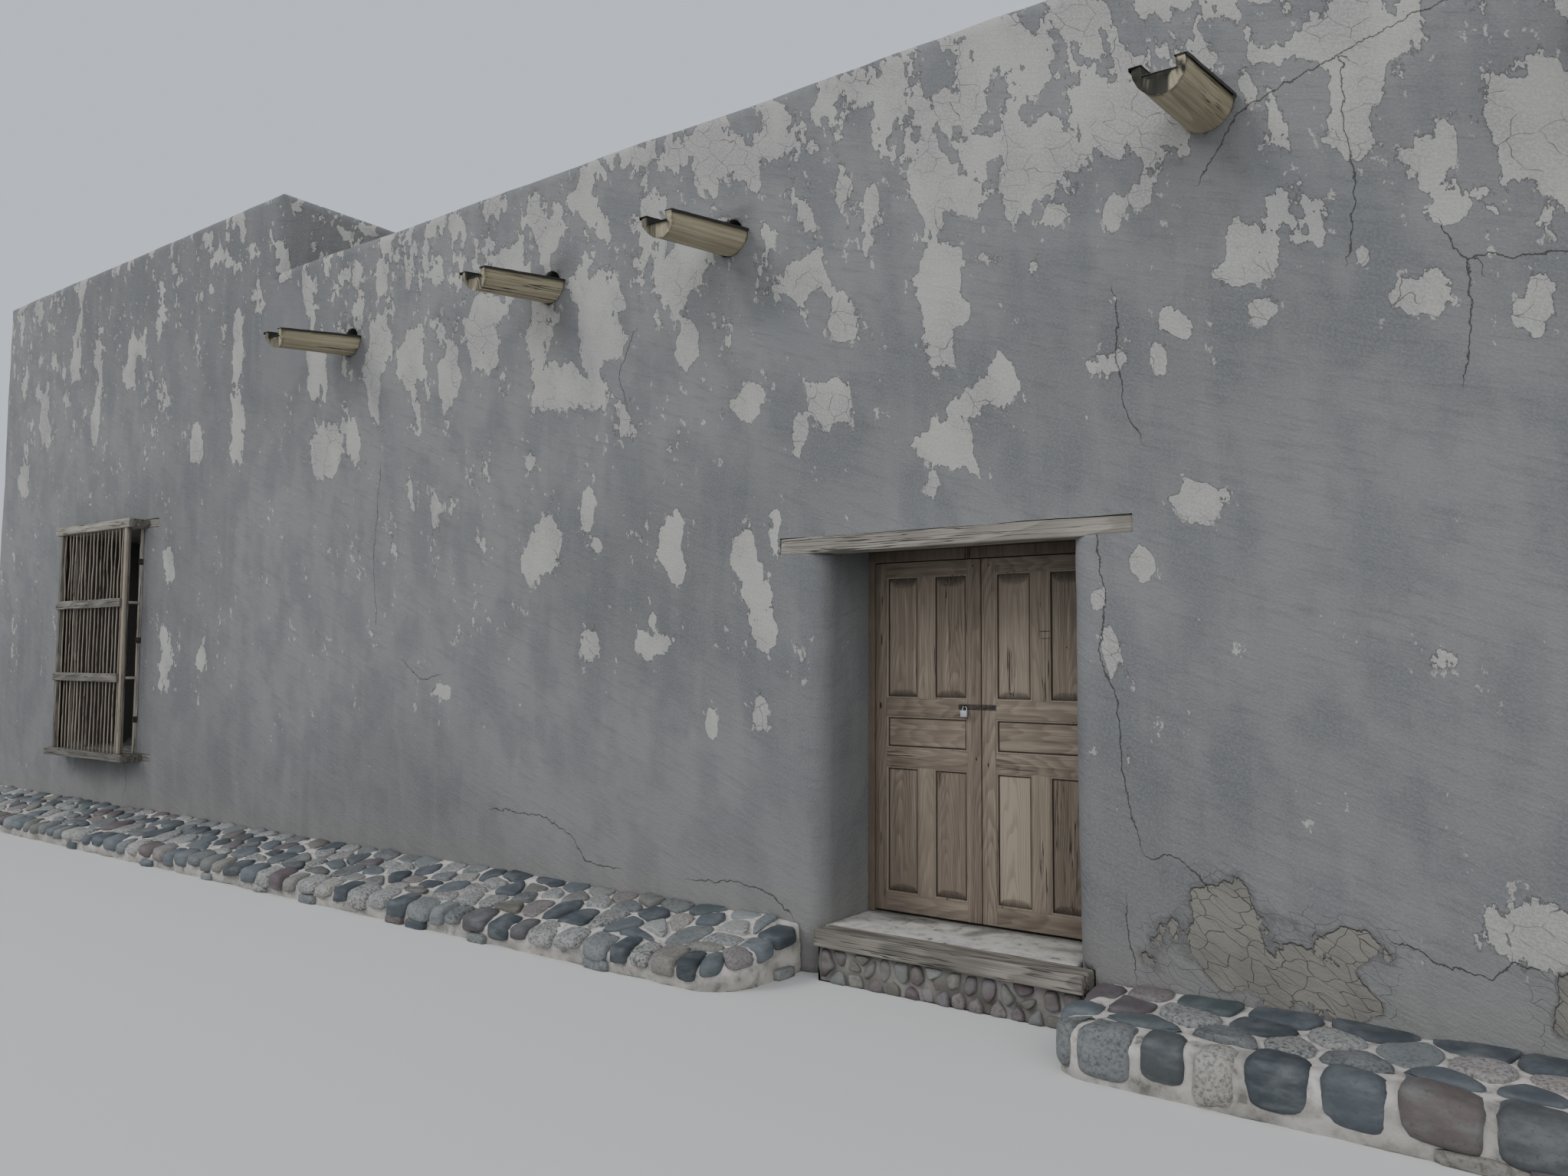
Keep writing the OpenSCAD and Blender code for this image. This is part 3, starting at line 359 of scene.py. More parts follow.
def grain_group():
    """Wood grain along the third coordinate: fibres, growth rings, drying checks and a height in metres."""
    inputs = [("Vector", VECTOR, None), ("Rings", FLOAT, 38.0), ("Figure", FLOAT, 0.14),
              ("Checks", FLOAT, 0.4), ("Depth", FLOAT, 0.0008)]
    outputs = [("Light", FLOAT), ("Check", FLOAT), ("Height", FLOAT)]
    group, given, out = new_group("wood_grain", inputs, outputs)
    drift = cloud(group, stretched(group, given["Vector"], (7, 7, 1.1)), 1.0, 2.0)
    parts = put(group, "ShaderNodeSeparateXYZ", {0: given["Vector"]}).outputs
    lean = calc(group, "MULTIPLY_ADD", parts[2], 0.045, 0.05)
    squares = calc(group, "MULTIPLY_ADD", parts[0], parts[0], calc(group, "MULTIPLY", lean, lean))
    around = calc(group, "SQRT", squares)
    bent = calc(group, "MULTIPLY_ADD", drift, 0.075, around)
    turn = calc(group, "FRACT", calc(group, "MULTIPLY", bent, calc(group, "MULTIPLY", given["Rings"], 1.6)))
    ring = calc(group, "MULTIPLY", ramp(group, turn, 0.0, 0.75), ramp(group, turn, 0.86, 1.0, 1.0, 0.0))
    fibre = cloud(group, stretched(group, given["Vector"], (260, 260, 5.5)), 1.0, 3.0, 0.6)
    streak = cloud(group, stretched(group, given["Vector"], (42, 42, 0.9)), 1.0, 3.0, 0.6)
    figured = calc(group, "MULTIPLY", ring, given["Figure"])
    light = calc(group, "MULTIPLY_ADD", fibre, 0.66, figured)
    light = calc(group, "MULTIPLY_ADD", streak, 0.62, calc(group, "SUBTRACT", light, 0.14))
    narrow = calc(group, "ABSOLUTE", calc(group, "SUBTRACT", streak, 0.5))
    line = ramp(group, narrow, 0.004, 0.016, 1.0, 0.0)
    rare = calc(group, "SUBTRACT", 0.72, calc(group, "MULTIPLY", given["Checks"], 0.5))
    gate = ramp(group, calc(group, "SUBTRACT", drift, rare), 0.0, 0.05)
    check = calc(group, "MULTIPLY", line, gate)
    height = calc(group, "MULTIPLY", calc(group, "MULTIPLY_ADD", fibre, 0.9, ring), given["Depth"])
    group.links.new(light, out["Light"])
    group.links.new(check, out["Check"])
    group.links.new(calc(group, "MULTIPLY_ADD", check, -0.004, height), out["Height"])
    return group


GRAIN = grain_group()


def timber(name, dark, middle, pale, crack="1d1a18", rings=38.0, checks=0.4, depth=0.0008, coarse=1.0,
           figure=0.14):
    """Weathered timber: grain along the piece's own grain attribute, made paler or darker by its tint, and
    darkened towards the crack colour where it is stained and where shade is painted on it.
    """
    made, tree, shader, place = new_material(name)
    along = put(tree, "ShaderNodeAttribute", attribute_name="grain").outputs["Vector"]
    along = stretched(tree, along, (1 / coarse, 1 / coarse, 1 / coarse))
    figured = calc(tree, "MULTIPLY_ADD", field(tree, "dust"), 0.5, figure)
    wood = use_group(tree, GRAIN, {"Vector": along, "Rings": rings, "Figure": figured, "Checks": checks,
                                   "Depth": depth})
    color = blend_color(tree, ramp(tree, wood["Light"], 0.16, 0.56), tone(dark), tone(middle))
    color = blend_color(tree, ramp(tree, wood["Light"], 0.48, 0.90), color, tone(pale))
    shade = calc(tree, "MULTIPLY_ADD", field(tree, "tint"), 1.6, -0.8)
    color = blend_color(tree, calc(tree, "MAXIMUM", shade, 0.0), color, tone(pale))
    darker = calc(tree, "MAXIMUM", calc(tree, "MULTIPLY", shade, -1.0), 0.0)
    color = blend_color(tree, darker, color, tone(dark))
    mottle = cloud(tree, place, 3.3, 3.0)
    grey = calc(tree, "MULTIPLY", ramp(tree, mottle, 0.42, 0.68), 0.35)
    color = blend_color(tree, grey, color, tone(middle))
    # Darkens towards the crack colour: real stains and rot, and painted shade in the door's grooves and
    # hollows and on the backs of the cage sticks
    color = blend_color(tree, calc(tree, "MULTIPLY", field(tree, "stain_and_shade"), 0.92), color, tone(crack))
    color = blend_color(tree, calc(tree, "MULTIPLY", wood["Check"], 0.85), color, tone(crack))
    finish_surface(tree, shader, color, 0.78, wood["Height"])
    shader.inputs["Specular IOR Level"].default_value = 0.3
    return made


def rusty_iron(name, dark, brown, rust_from=0.45, metal=0.35):
    """Old iron: dark skin with brown rust patches and fine pitting."""
    made, tree, shader, place = new_material(name)
    patches = cloud(tree, place, 34.0, 4.0, 0.65)
    fine = cloud(tree, place, 330.0, 2.0, 0.6)
    rust = ramp(tree, patches, rust_from, rust_from + 0.2)
    color = blend_color(tree, rust, tone(dark), tone(brown))
    color = blend_color(tree, ramp(tree, fine, 0.4, 0.7, 0.0, 0.4), color, tone("55504c"))
    height = calc(tree, "MULTIPLY_ADD", fine, 0.0003, calc(tree, "MULTIPLY", patches, 0.0006))
    finish_surface(tree, shader, color, ramp(tree, rust, 0.0, 1.0, 0.5, 0.85), height)
    tree.links.new(ramp(tree, rust, 0.0, 1.0, metal, 0.0), shader.inputs["Metallic"])
    return made


def packed_earth(name, base, pale):
    """Trodden earth: mottled, crumbly and full of small stones."""
    made, tree, shader, place = new_material(name)
    grit = use_group(tree, GRIT, {"Vector": place, "Depth": 0.004})
    patches = cloud(tree, place, 1.3, 4.0)
    color = blend_color(tree, ramp(tree, patches, 0.35, 0.68), tone(base), tone(pale))
    color = blend_color(tree, ramp(tree, grit["Mottle"], 0.42, 0.72, 0.0, 0.6), color, tone("4a443d"))
    height = calc(tree, "MULTIPLY_ADD", patches, 0.012, grit["Height"])
    finish_surface(tree, shader, color, 0.95, height)
    return made


# Colours of single stones, by the stone's own tint
STONE_TINTS = [(0.28, "41484e"), (0.52, "565d62"), (0.68, "3d4648"), (0.80, "574b4e"), (0.88, "5a5850")]


def river_stone():
    """River cobbles in greys with a few reddish and greenish ones, by each stone's own tint."""
    made, tree, shader, place = new_material("river_stone")
    tint = field(tree, "tint")
    speck = cloud(tree, place, 60.0, 3.0, 0.7)
    vein = cloud(tree, stretched(tree, place, (6, 6, 16)), 1.0, 3.0, 0.6)
    ramp_node = put(tree, "ShaderNodeValToRGB", {"Fac": tint})
    stops = ramp_node.color_ramp.elements
    stops[0].color = tone("2f363b")
    stops[1].color = tone("6c7274")
    for at, code in STONE_TINTS:
        stops.new(at).color = tone(code)
    veined = ramp(tree, vein, 0.38, 0.75, 0.0, 0.4)
    color = blend_color(tree, veined, ramp_node.outputs["Color"], tone("7b7f80"))
    color = blend_color(tree, ramp(tree, speck, 0.52, 0.75, 0.0, 0.55), color, tone("35393b"))
    lime = calc(tree, "MULTIPLY", field(tree, "dust"), ramp(tree, speck, 0.3, 0.6))
    color = blend_color(tree, calc(tree, "MULTIPLY", lime, 0.8), color, tone("b4b2ac"))
    finish_surface(tree, shader, color, 0.72, calc(tree, "MULTIPLY", speck, 0.0012))
    return made


def lime_mortar(name, pale, middle, dark):
    """Crumbly lime mortar and limewashed slab."""
    made, tree, shader, place = new_material(name)
    lumps = cloud(tree, place, 13.0, 4.0, 0.62)
    patches = cloud(tree, place, 2.1, 3.0)
    fine = cloud(tree, place, 120.0, 2.0)
    color = blend_color(tree, ramp(tree, lumps, 0.34, 0.60), tone(middle), tone(pale))
    patchy = calc(tree, "MULTIPLY", ramp(tree, patches, 0.50, 0.70), 0.55)
    color = blend_color(tree, patchy, color, tone(middle))
    color = blend_color(tree, ramp(tree, lumps, 0.30, 0.40, 0.75, 0.0), color, tone(dark))
    color = blend_color(tree, calc(tree, "MULTIPLY", field(tree, "stain_and_shade"), 0.95), color, tone(dark))
    height = calc(tree, "MULTIPLY_ADD", lumps, 0.008, calc(tree, "MULTIPLY", fine, 0.0012))
    finish_surface(tree, shader, color, 0.92, height)
    return made


def lock_metal():
    """Brushed steel of the padlock."""
    made, tree, shader, place = new_material("lock_metal")
    lines = cloud(tree, stretched(tree, place, (40, 40, 900)), 1.0, 2.0)
    spots = cloud(tree, place, 180.0, 3.0)
    color = blend_color(tree, ramp(tree, spots, 0.55, 0.72), tone("b9bcbf"), tone("77746f"))
    brushed = ramp(tree, lines, 0.3, 0.7, 0.28, 0.45)
    finish_surface(tree, shader, color, brushed, calc(tree, "MULTIPLY", lines, 0.0001))
    shader.inputs["Metallic"].default_value = 0.85
    return made


DOOR_WOOD = timber("door_timber", "443a30", "70655a", "968b7c", rings=64.0, checks=0.25, depth=0.0007)
GREY_WOOD = timber("grey_timber", "3c3a36", "726e67", "9b968c", rings=40.0, checks=0.75, depth=0.0022,
                   coarse=1.4, figure=0.22)
LOG_WOOD = timber("log_timber", "685f4d", "989079", "b9b19b", "10171a", rings=24.0, checks=0.38,
                  depth=0.0018, coarse=1.6)
DARK_WOOD = timber("shaded_timber", "241e19", "3b322a", "5a4f43", rings=34.0, checks=0.5, depth=0.0015,
                   coarse=1.6)
STICK_WOOD = timber("stick_timber", "4b453d", "736b5f", "968d80", rings=60.0, checks=0.5, depth=0.0006)
IRON = rusty_iron("old_iron", "262423", "4a3a30")
TIN = rusty_iron("weathered_tin", "1d1e1e", "302a25", 0.62, 0.2)
ROOF_EARTH = packed_earth("roof_earth", "6b6054", "85796a")
FLOOR_EARTH = packed_earth("floor_earth", "625649", "7a6c5c")
STONE = river_stone()
MORTAR = lime_mortar("lime_mortar", "bfbcb6", "9c9993", "5d5a55")
SLAB = lime_mortar("limewashed_slab", "bdbbb6", "a3a19c", "4d4a45")
STEEL = lock_metal()

# Piece helpers

# Least angle of an edge that is eased on a CAD copy
CRISP_ANGLE = math.radians(50)


def merged_copy(node):
    """A CAD node's mesh with its doubles merged and its flat faces whole."""
    bm = bmesh.new()
    bm.from_mesh(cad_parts[node].data)
    bmesh.ops.remove_doubles(bm, verts=bm.verts, dist=1e-5)
    bmesh.ops.dissolve_limit(bm, angle_limit=math.radians(0.4), verts=bm.verts, edges=bm.edges)
    return bm


def cut_faces(bm, faces, axis, places):
    """Cuts faces at places along an axis, halving the work list each time."""
    if not places or not faces:
        return faces
    middle = len(places) // 2
    at = places[middle]
    normal = [0, 0, 0]
    normal[axis] = 1
    edges = list(dict.fromkeys(edge for face in faces for edge in face.edges))
    result = bmesh.ops.bisect_plane(bm, geom=list(faces) + edges, dist=1e-5,
                                    plane_co=[c * at for c in normal], plane_no=normal)
    kept = [g for g in result["geom"] if isinstance(g, bmesh.types.BMFace)]
    below = [f for f in kept if f.calc_center_median()[axis] < at]
    above = [f for f in kept if f.calc_center_median()[axis] >= at]
    return cut_faces(bm, below, axis, places[:middle]) + cut_faces(bm, above, axis, places[middle + 1:])


def grid_places(low, high, step):
    """Multiples of step strictly between low and high."""
    first = math.floor(low / step) + 1
    last = math.ceil(high / step) - 1
    return [i * step for i in range(first, last + 1)]


def new_piece(name, bm, material, body, sharp=40):
    """Closed mesh as a piece on a body, smooth except at edges sharper than an angle."""
    mesh = bpy.data.meshes.new(name)
    bm.to_mesh(mesh)
    bm.free()
    mesh.polygons.foreach_set("use_smooth", [True] * len(mesh.polygons))
    mesh.set_sharp_from_angle(angle=math.radians(sharp))
    mesh.materials.append(material)
    piece = bpy.data.objects.new(name, mesh)
    bpy.context.scene.collection.objects.link(piece)
    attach(piece, body)
    return piece


def add_marks(bm):
    """Gives a mesh's points room for a grain place, a tint, a mark for stains and painted shade, and a dust
    mark.
    """
    bm.verts.layers.float_vector.new("grain")
    for name in ("tint", "stain_and_shade", "dust"):
        bm.verts.layers.float.new(name)
    return bm


def marked_mesh():
    """Empty mesh with room for marks."""
    return add_marks(bmesh.new())


def marked_block(lo, hi):
    """Plain block between two corners, with room for marks."""
    bm = marked_mesh()
    bmesh.ops.create_cube(bm, size=1)
    bmesh.ops.scale(bm, vec=hi - lo, verts=bm.verts)
    bmesh.ops.translate(bm, vec=(lo + hi) / 2, verts=bm.verts)
    return bm


def ease_edges(bm, offset):
    """Rounds the sharp edges of a CAD copy."""
    crisp = [e for e in bm.edges if len(e.link_faces) == 2 and e.calc_face_angle() > CRISP_ANGLE]
    bmesh.ops.bevel(bm, geom=crisp, offset=offset, offset_type="OFFSET", segments=2, profile=0.5,
                    affect="EDGES", clamp_overlap=True, material=-1)


def set_marks(bm, verts, grain=None, tint=0.5, stain_and_shade=0.0, dust=0.0):
    """Gives points their marks. Grain is a function from a place to a grain place."""
    layers = bm.verts.layers
    places = layers.float_vector["grain"]
    for vertex in verts:
        vertex[places] = grain(vertex.co) if grain else vertex.co
    for name, value in (("tint", tint), ("stain_and_shade", stain_and_shade), ("dust", dust)):
        layer = layers.float[name]
        for vertex in verts:
            vertex[layer] = value


def join(whole, part):
    """Adds one finished mesh, with its marks, to another."""
    mesh = bpy.data.meshes.new("joining")
    part.to_mesh(mesh)
    part.free()
    whole.from_mesh(mesh)
    bpy.data.meshes.remove(mesh)


def grain_place(along, middle, rng):
    """Function from a place to grain coordinates, with the third one along the board."""
    others = [axis for axis in (0, 1, 2) if axis != along]
    aside, deep, ahead = rng.uniform(-0.05, 0.05), rng.uniform(0, 5), rng.uniform(0.2, 1.6)
    return lambda p: (p[others[0]] - middle[others[0]] + aside, p[others[1]] - middle[others[1]] + deep,
                      p[along] - middle[along] + ahead)


def cut_across(bm, lo, hi, along, spacing):
    """Cuts a board's faces along the two axes that cross its own."""
    for axis in (0, 1, 2):
        if axis != along:
            cut_faces(bm, bm.faces[:], axis, grid_places(lo[axis], hi[axis], spacing))


def far_place(rng, reach):
    """Random place to read the noise from."""
    return Vector([rng.uniform(0, reach) for _ in range(3)])


def middle_of(part):
    """Mean place of some points."""
    return sum((vertex.co for vertex in part), Vector()) / len(part)


def held_in(place, push, lo, hi):
    """A push, cut short where it would leave a box."""
    return Vector([min(hi[i] - place[i], max(lo[i] - place[i], push[i])) for i in range(3)])


def timber_block(lo, hi, along, tint, rng, edge=0.0015, step=0.12, across=None, wobble=0.0005):
    """Sawn timber with eased edges, cut along its length and a little uneven."""
    lo, hi = Vector(lo), Vector(hi)
    bm = marked_block(lo, hi)
    bmesh.ops.bevel(bm, geom=bm.edges[:], offset=edge, offset_type="OFFSET", segments=2, profile=0.5,
                    affect="EDGES", material=-1)
    cut_faces(bm, bm.faces[:], along, grid_places(lo[along], hi[along], step))
    if across:
        cut_across(bm, lo, hi, along, across)
    start = far_place(rng, 50)
    squeeze = Vector([1.6 if axis == along else 16.0 for axis in (0, 1, 2)])
    for vertex in bm.verts:
        vertex.co += noise.noise_vector(vertex.co * squeeze + start) * wobble
    set_marks(bm, bm.verts, grain_place(along, (lo + hi) / 2, rng), tint)
    return bm


def islands(bm):
    """Lists of the points of each loose part, in the order of their places."""
    seen = set()
    parts = []
    for first in bm.verts:
        if first in seen:
            continue
        seen.add(first)
        part = [first]
        for vertex in part:
            for link in vertex.link_edges:
                other = link.other_vert(vertex)
                if other not in seen:
                    seen.add(other)
                    part.append(other)
        parts.append(part)
    return sorted(parts, key=lambda part: [round(min(v.co[i] for v in part), 3) for i in range(3)])


def dress_timber(nodes, name, material, along, rng, step=0.1, across=None, wobble=0.002, edge=0.006,
                 tint=0.5):
    """Worn copies of CAD timbers, joined as one piece that stands for them."""
    whole = marked_mesh()
    for node in nodes:
        bm = add_marks(merged_copy(node))
        ease_edges(bm, edge)
        lo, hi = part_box(node)
        cut_faces(bm, bm.faces[:], along, grid_places(lo[along], hi[along], step))
        if across:
            cut_across(bm, lo, hi, along, across)
        squeeze = Vector([1.5 if axis == along else 13.0 for axis in (0, 1, 2)])
        for part in islands(bm):
            start = far_place(rng, 50)
            middle = middle_of(part)
            for vertex in part:
                push = noise.noise_vector(vertex.co * squeeze + start) * wobble
                vertex.co += held_in(vertex.co, push, lo, hi)
            set_marks(bm, part, grain_place(along, middle, rng), tint + rng.uniform(-0.12, 0.12))
        join(whole, bm)
    piece = new_piece(name, whole, material, "house")
    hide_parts(*nodes)

# Walls

# A window's opening, a little larger than the CAD's, where shade is painted on the wall: middle, half width,
# foot and head
WINDOW_X, WINDOW_HALF, WINDOW_LOW, WINDOW_HIGH = 9.825, 0.74, 0.84, 3.07
CORNER_SOFT, WALL_THICK = 0.055, 0.80
ATTRIBUTES = ("flake", "crack", "crack_on", "bare", "repair", "stain_and_shade", "dust", "drift")


def eased(value, low, high):
    """Smooth step from 0 to 1."""
    share = min(1.0, max(0.0, (value - low) / (high - low)))
    return share * share * (3 - 2 * share)


def outside(p):
    """1 on the outer faces and parapets of the house, falling to 0 inside its walls."""
    depth = min(p.y - FRONT, BACK - p.y, END - abs(p.x))
    tall = abs(p.x) > JOIN
    roof = (BLOCK_TOP if tall else MAIN_TOP) - 0.75
    return max(1 - eased(depth, 0.42, 0.56), eased(p.z, roof - 0.05, roof))


def worn(p):
    """How far the worn mud surface lies from its straight shape, at a place on it."""
    push = noise.noise_vector(p * 0.8) * 0.014 + noise.noise_vector(p * 3.1) * 0.005
    push += noise.noise_vector(p * 9.0) * 0.0018
    still = eased(p.y, FRONT + 0.36, FRONT + 0.46)
    still *= 1 - eased(abs(p.x), 0.92, 1.0)
    still *= 1 - eased(p.z, 2.5, 2.6)
    return push * outside(p) * (1 - still)


# Where the front wall's coat has come off: place along the wall, height, half width and half height
FLAKES = [
    (0.63, 4.50, 0.20, 0.21), (1.12, 4.43, 0.20, 0.22), (0.02, 4.35, 0.18, 0.30),
    (0.05, 3.85, 0.16, 0.32), (0.32, 4.54, 0.24, 0.12), (0.38, 3.28, 0.07, 0.13),
    (0.20, 3.18, 0.15, 0.09), (0.06, 2.97, 0.13, 0.14), (-0.02, 2.74, 0.06, 0.12),
    (1.76, 3.84, 0.18, 0.17), (1.62, 3.62, 0.14, 0.06), (2.40, 4.02, 0.11, 0.25),
    (2.75, 3.95, 0.17, 0.42), (1.01, 3.28, 0.11, 0.08), (2.32, 3.37, 0.10, 0.09),
    (2.74, 3.26, 0.08, 0.15), (1.39, 2.55, 0.11, 0.07), (-3.12, 2.62, 0.12, 0.20),
    (-3.26, 2.46, 0.09, 0.10), (-2.66, 1.90, 0.09, 0.15), (-1.91, 2.62, 0.11, 0.12),
    (-1.90, 2.40, 0.08, 0.12), (-2.10, 1.88, 0.14, 0.09), (-2.08, 2.05, 0.05, 0.09),
    (-2.70, 2.78, 0.06, 0.14), (-2.60, 2.56, 0.06, 0.06), (-1.24, 2.18, 0.12, 0.16),
    (-1.16, 1.96, 0.09, 0.13), (-1.10, 2.56, 0.06, 0.20), (-1.32, 2.46, 0.08, 0.16),
    (-1.17, 1.52, 0.06, 0.11), (-1.58, 1.38, 0.05, 0.11), (-8.47, 1.72, 0.17, 0.24),
    (-7.85, 1.80, 0.09, 0.16), (-8.55, 2.75, 0.13, 0.20), (-4.17, 1.55, 0.14, 0.06),
    (-1.79, 3.78, 0.09, 0.15), (-1.94, 4.32, 0.22, 0.20), (-0.90, 4.07, 0.11, 0.10),
    (-0.70, 3.32, 0.12, 0.14), (-1.34, 3.36, 0.14, 0.09), (-0.92, 3.16, 0.06, 0.12),
    (-0.62, 3.73, 0.10, 0.15), (-0.43, 4.46, 0.06, 0.13), (0.71, 4.08, 0.12, 0.05),
    (1.00, 4.05, 0.05, 0.09), (1.14, 4.10, 0.06, 0.09), (1.27, 3.42, 0.10, 0.07),
    (1.22, 3.28, 0.04, 0.09), (0.17, 3.69, 0.05, 0.10), (0.28, 3.95, 0.12, 0.08),
    (1.70, 3.40, 0.06, 0.06), (2.13, 3.58, 0.04, 0.06), (2.43, 3.70, 0.11, 0.06),
    (1.12, 2.26, 0.05, 0.09), (1.05, 1.31, 0.04, 0.09), (0.96, 1.82, 0.03, 0.12),
    (0.90, 2.10, 0.04, 0.06), (2.67, 0.74, 0.14, 0.15), (2.10, 4.30, 0.12, 0.20),
    (1.95, 4.62, 0.30, 0.10), (2.90, 4.70, 0.30, 0.20), (-2.60, 4.05, 0.20, 0.40),
    (-2.95, 3.75, 0.22, 0.18), (-3.20, 4.15, 0.12, 0.30), (-3.82, 4.25, 0.22, 0.30),
    (-4.20, 3.95, 0.12, 0.28), (-4.67, 4.10, 0.18, 0.35), (-5.20, 4.20, 0.16, 0.40),
    (-5.75, 3.60, 0.30, 0.25), (-6.05, 4.30, 0.12, 0.50), (-7.35, 3.95, 0.09, 0.35),
    (-7.40, 4.60, 0.07, 0.50), (-8.10, 3.80, 0.10, 0.25), (-8.90, 4.20, 0.12, 0.30),
    (-9.50, 4.80, 0.14, 0.30), (-10.3, 4.40, 0.10, 0.35), (-10.9, 5.00, 0.16, 0.20),
    (-11.6, 4.60, 0.12, 0.40), (-12.1, 4.00, 0.10, 0.30),
]
# Small loose flakes: middle of each group, its half width and half height, and its strength
FLAKE_GROUPS = [
    (-1.15, 2.00, 0.35, 0.65, 0.32), (-2.40, 2.30, 1.10, 0.80, 0.14), (-1.00, 3.60, 1.20, 0.60, 0.22),
    (0.30, 4.00, 0.80, 0.70, 0.20), (-10.5, 2.30, 1.60, 0.90, 0.12), (-7.70, 2.20, 0.70, 1.00, 0.10),
    (1.00, 1.70, 0.20, 0.70, 0.12), (1.20, 3.40, 0.50, 0.40, 0.16), (2.30, 3.50, 0.60, 0.40, 0.12),
    (-4.20, 2.70, 1.60, 1.10, 0.18), (-2.60, 3.30, 1.30, 0.70, 0.22), (-12.2, 2.40, 0.90, 1.30, 0.20),
    (-10.0, 3.70, 1.80, 0.60, 0.16),
]
# Stretches of the front wall that stay whole: middle, half width and half height
WHOLE = [
    (-6.60, 4.60, 0.42, 0.55), (-1.60, 1.00, 2.20, 0.65), (2.00, 2.60, 1.40, 0.70), (1.55, 4.15, 0.18, 0.35),
    (0.20, 2.62, 0.60, 0.10), (4.60, 1.60, 1.80, 1.30),
]
# Bare adobe low on the wall right of the door: middle, half width and half height
BARE = [
    (1.46, 0.66, 0.13, 0.15), (1.52, 0.44, 0.17, 0.17), (2.02, 0.58, 0.17, 0.09), (1.80, 0.42, 0.16, 0.13),
    (2.84, 0.42, 0.13, 0.17), (3.60, 0.40, 0.30, 0.10), (2.00, 0.34, 0.14, 0.07),
]
DRIED_FOOT = (1.62, 0.40, 0.62, 0.36)
# Smooth mended stretches: middle, half width and half height
REPAIR_TONGUE = (-6.60, 4.62, 0.40, 0.52)
REPAIR_LOW = (-1.60, 0.10, 2.30, 1.22)
# Cracks of the front wall, each as places along the wall and heights
CRACK_RUNS = [
    [(1.45, 4.12), (1.60, 4.36), (1.82, 4.46), (2.10, 4.52), (2.36, 4.60), (2.80, 4.72), (3.40, 4.78)],
    [(2.44, 3.62), (2.50, 3.50), (2.70, 3.46), (2.95, 3.44), (3.10, 3.32)],
    [(2.52, 3.48), (2.52, 3.20), (2.50, 3.00)],
    [(0.90, 2.44), (0.94, 2.10), (0.90, 1.84), (0.99, 1.62), (1.03, 1.20), (1.08, 0.95)],
    [(1.00, 3.60), (1.02, 3.30), (1.06, 3.02), (1.12, 2.90)],
    [(2.05, 4.50), (2.06, 4.20), (2.10, 3.90), (2.08, 3.60)],
    [(1.14, 0.86), (1.26, 0.88), (1.36, 0.82), (1.42, 0.74)],
    [(2.20, 0.62), (2.34, 0.55), (2.52, 0.52), (2.60, 0.60), (2.66, 0.58)],
    [(1.02, 0.58), (1.03, 0.44), (1.06, 0.34)],
    [(-2.30, 3.95), (-2.42, 3.70), (-2.36, 3.50)],
    [(-5.10, 3.30), (-5.16, 2.60), (-5.10, 2.10)],
    [(-4.70, 1.75), (-4.50, 1.62), (-4.30, 1.66)],
    [(-9.30, 0.72), (-9.24, 0.50), (-9.30, 0.36)],
    [(-10.4, 0.74), (-10.5, 0.52)],
    [(-3.60, 0.72), (-3.05, 0.70), (-2.80, 0.58), (-2.66, 0.44), (-2.40, 0.42)],
    [(-1.70, 0.42), (-1.35, 0.46), (-1.10, 0.40), (-0.98, 0.32)],
    [(4.20, 3.90), (4.34, 3.40), (4.28, 3.00)],
    [(7.60, 4.90), (7.72, 4.40), (7.62, 3.80)],
    [(11.6, 2.90), (11.5, 2.40), (11.56, 2.00)],
]


def smooth(values, low, high):
    """Smooth step from 0 to 1 over an array."""
    share = np.clip((values - low) / (high - low), 0, 1)
    return share * share * (3 - 2 * share)


def in_oval(x, z, oval):
    """Distance from the middle of an oval, in its own radii."""
    return np.hypot((x - oval[0]) / oval[2], (z - oval[1]) / oval[3])


def flake_marks(x, y, z, drift):
    """How readily the coat has come off: over 0.5 it mostly has."""
    tall = np.abs(x) > JOIN
    top = np.where(tall, BLOCK_TOP, MAIN_TOP)
    span = np.where(tall, 2.7, 1.9)
    value = -0.10 + np.where(tall, 0.47, 0.56) * smooth(z, top - span, top - 0.35) + 0.14 * drift
    value -= 0.2 * (1 - smooth(z, 0.9, 1.6))
    value -= 0.3 * ((y > FRONT + 0.25) & (np.abs(x) < DOOR_HALF + 0.1))
    face = y < FRONT + 0.5
    for group in FLAKE_GROUPS:
        value += face * group[4] * np.clip(1 - in_oval(x, z, group) ** 2, 0, None)
    for oval in WHOLE:
        value -= face * 0.4 * (1 - smooth(in_oval(x, z, oval), 0.75, 1.1))
    for oval in FLAKES:
        value = np.where(face, np.maximum(value, 1.12 - 0.62 * in_oval(x, z, oval)), value)
    return value


def crack_marks(x, y, z):
    """Signed distance to the nearest crack, and how surely a place belongs to it."""
    best = np.full(len(x), 9.0)
    side = np.ones(len(x))
    for run in CRACK_RUNS:
        for (x0, z0), (x1, z1) in zip(run, run[1:]):
            dx, dz = x1 - x0, z1 - z0
            share = np.clip(((x - x0) * dx + (z - z0) * dz) / (dx * dx + dz * dz), 0, 1)
            away = np.hypot(x - x0 - share * dx, z - z0 - share * dz)
            nearer = away < best
            best = np.where(nearer, away, best)
            side = np.where(nearer, np.where((x - x0) * dz > (z - z0) * dx, 1.0, -1.0), side)
    return best * side, (1 - smooth(best, 0.05, 0.09)) * (y < FRONT + 0.3)


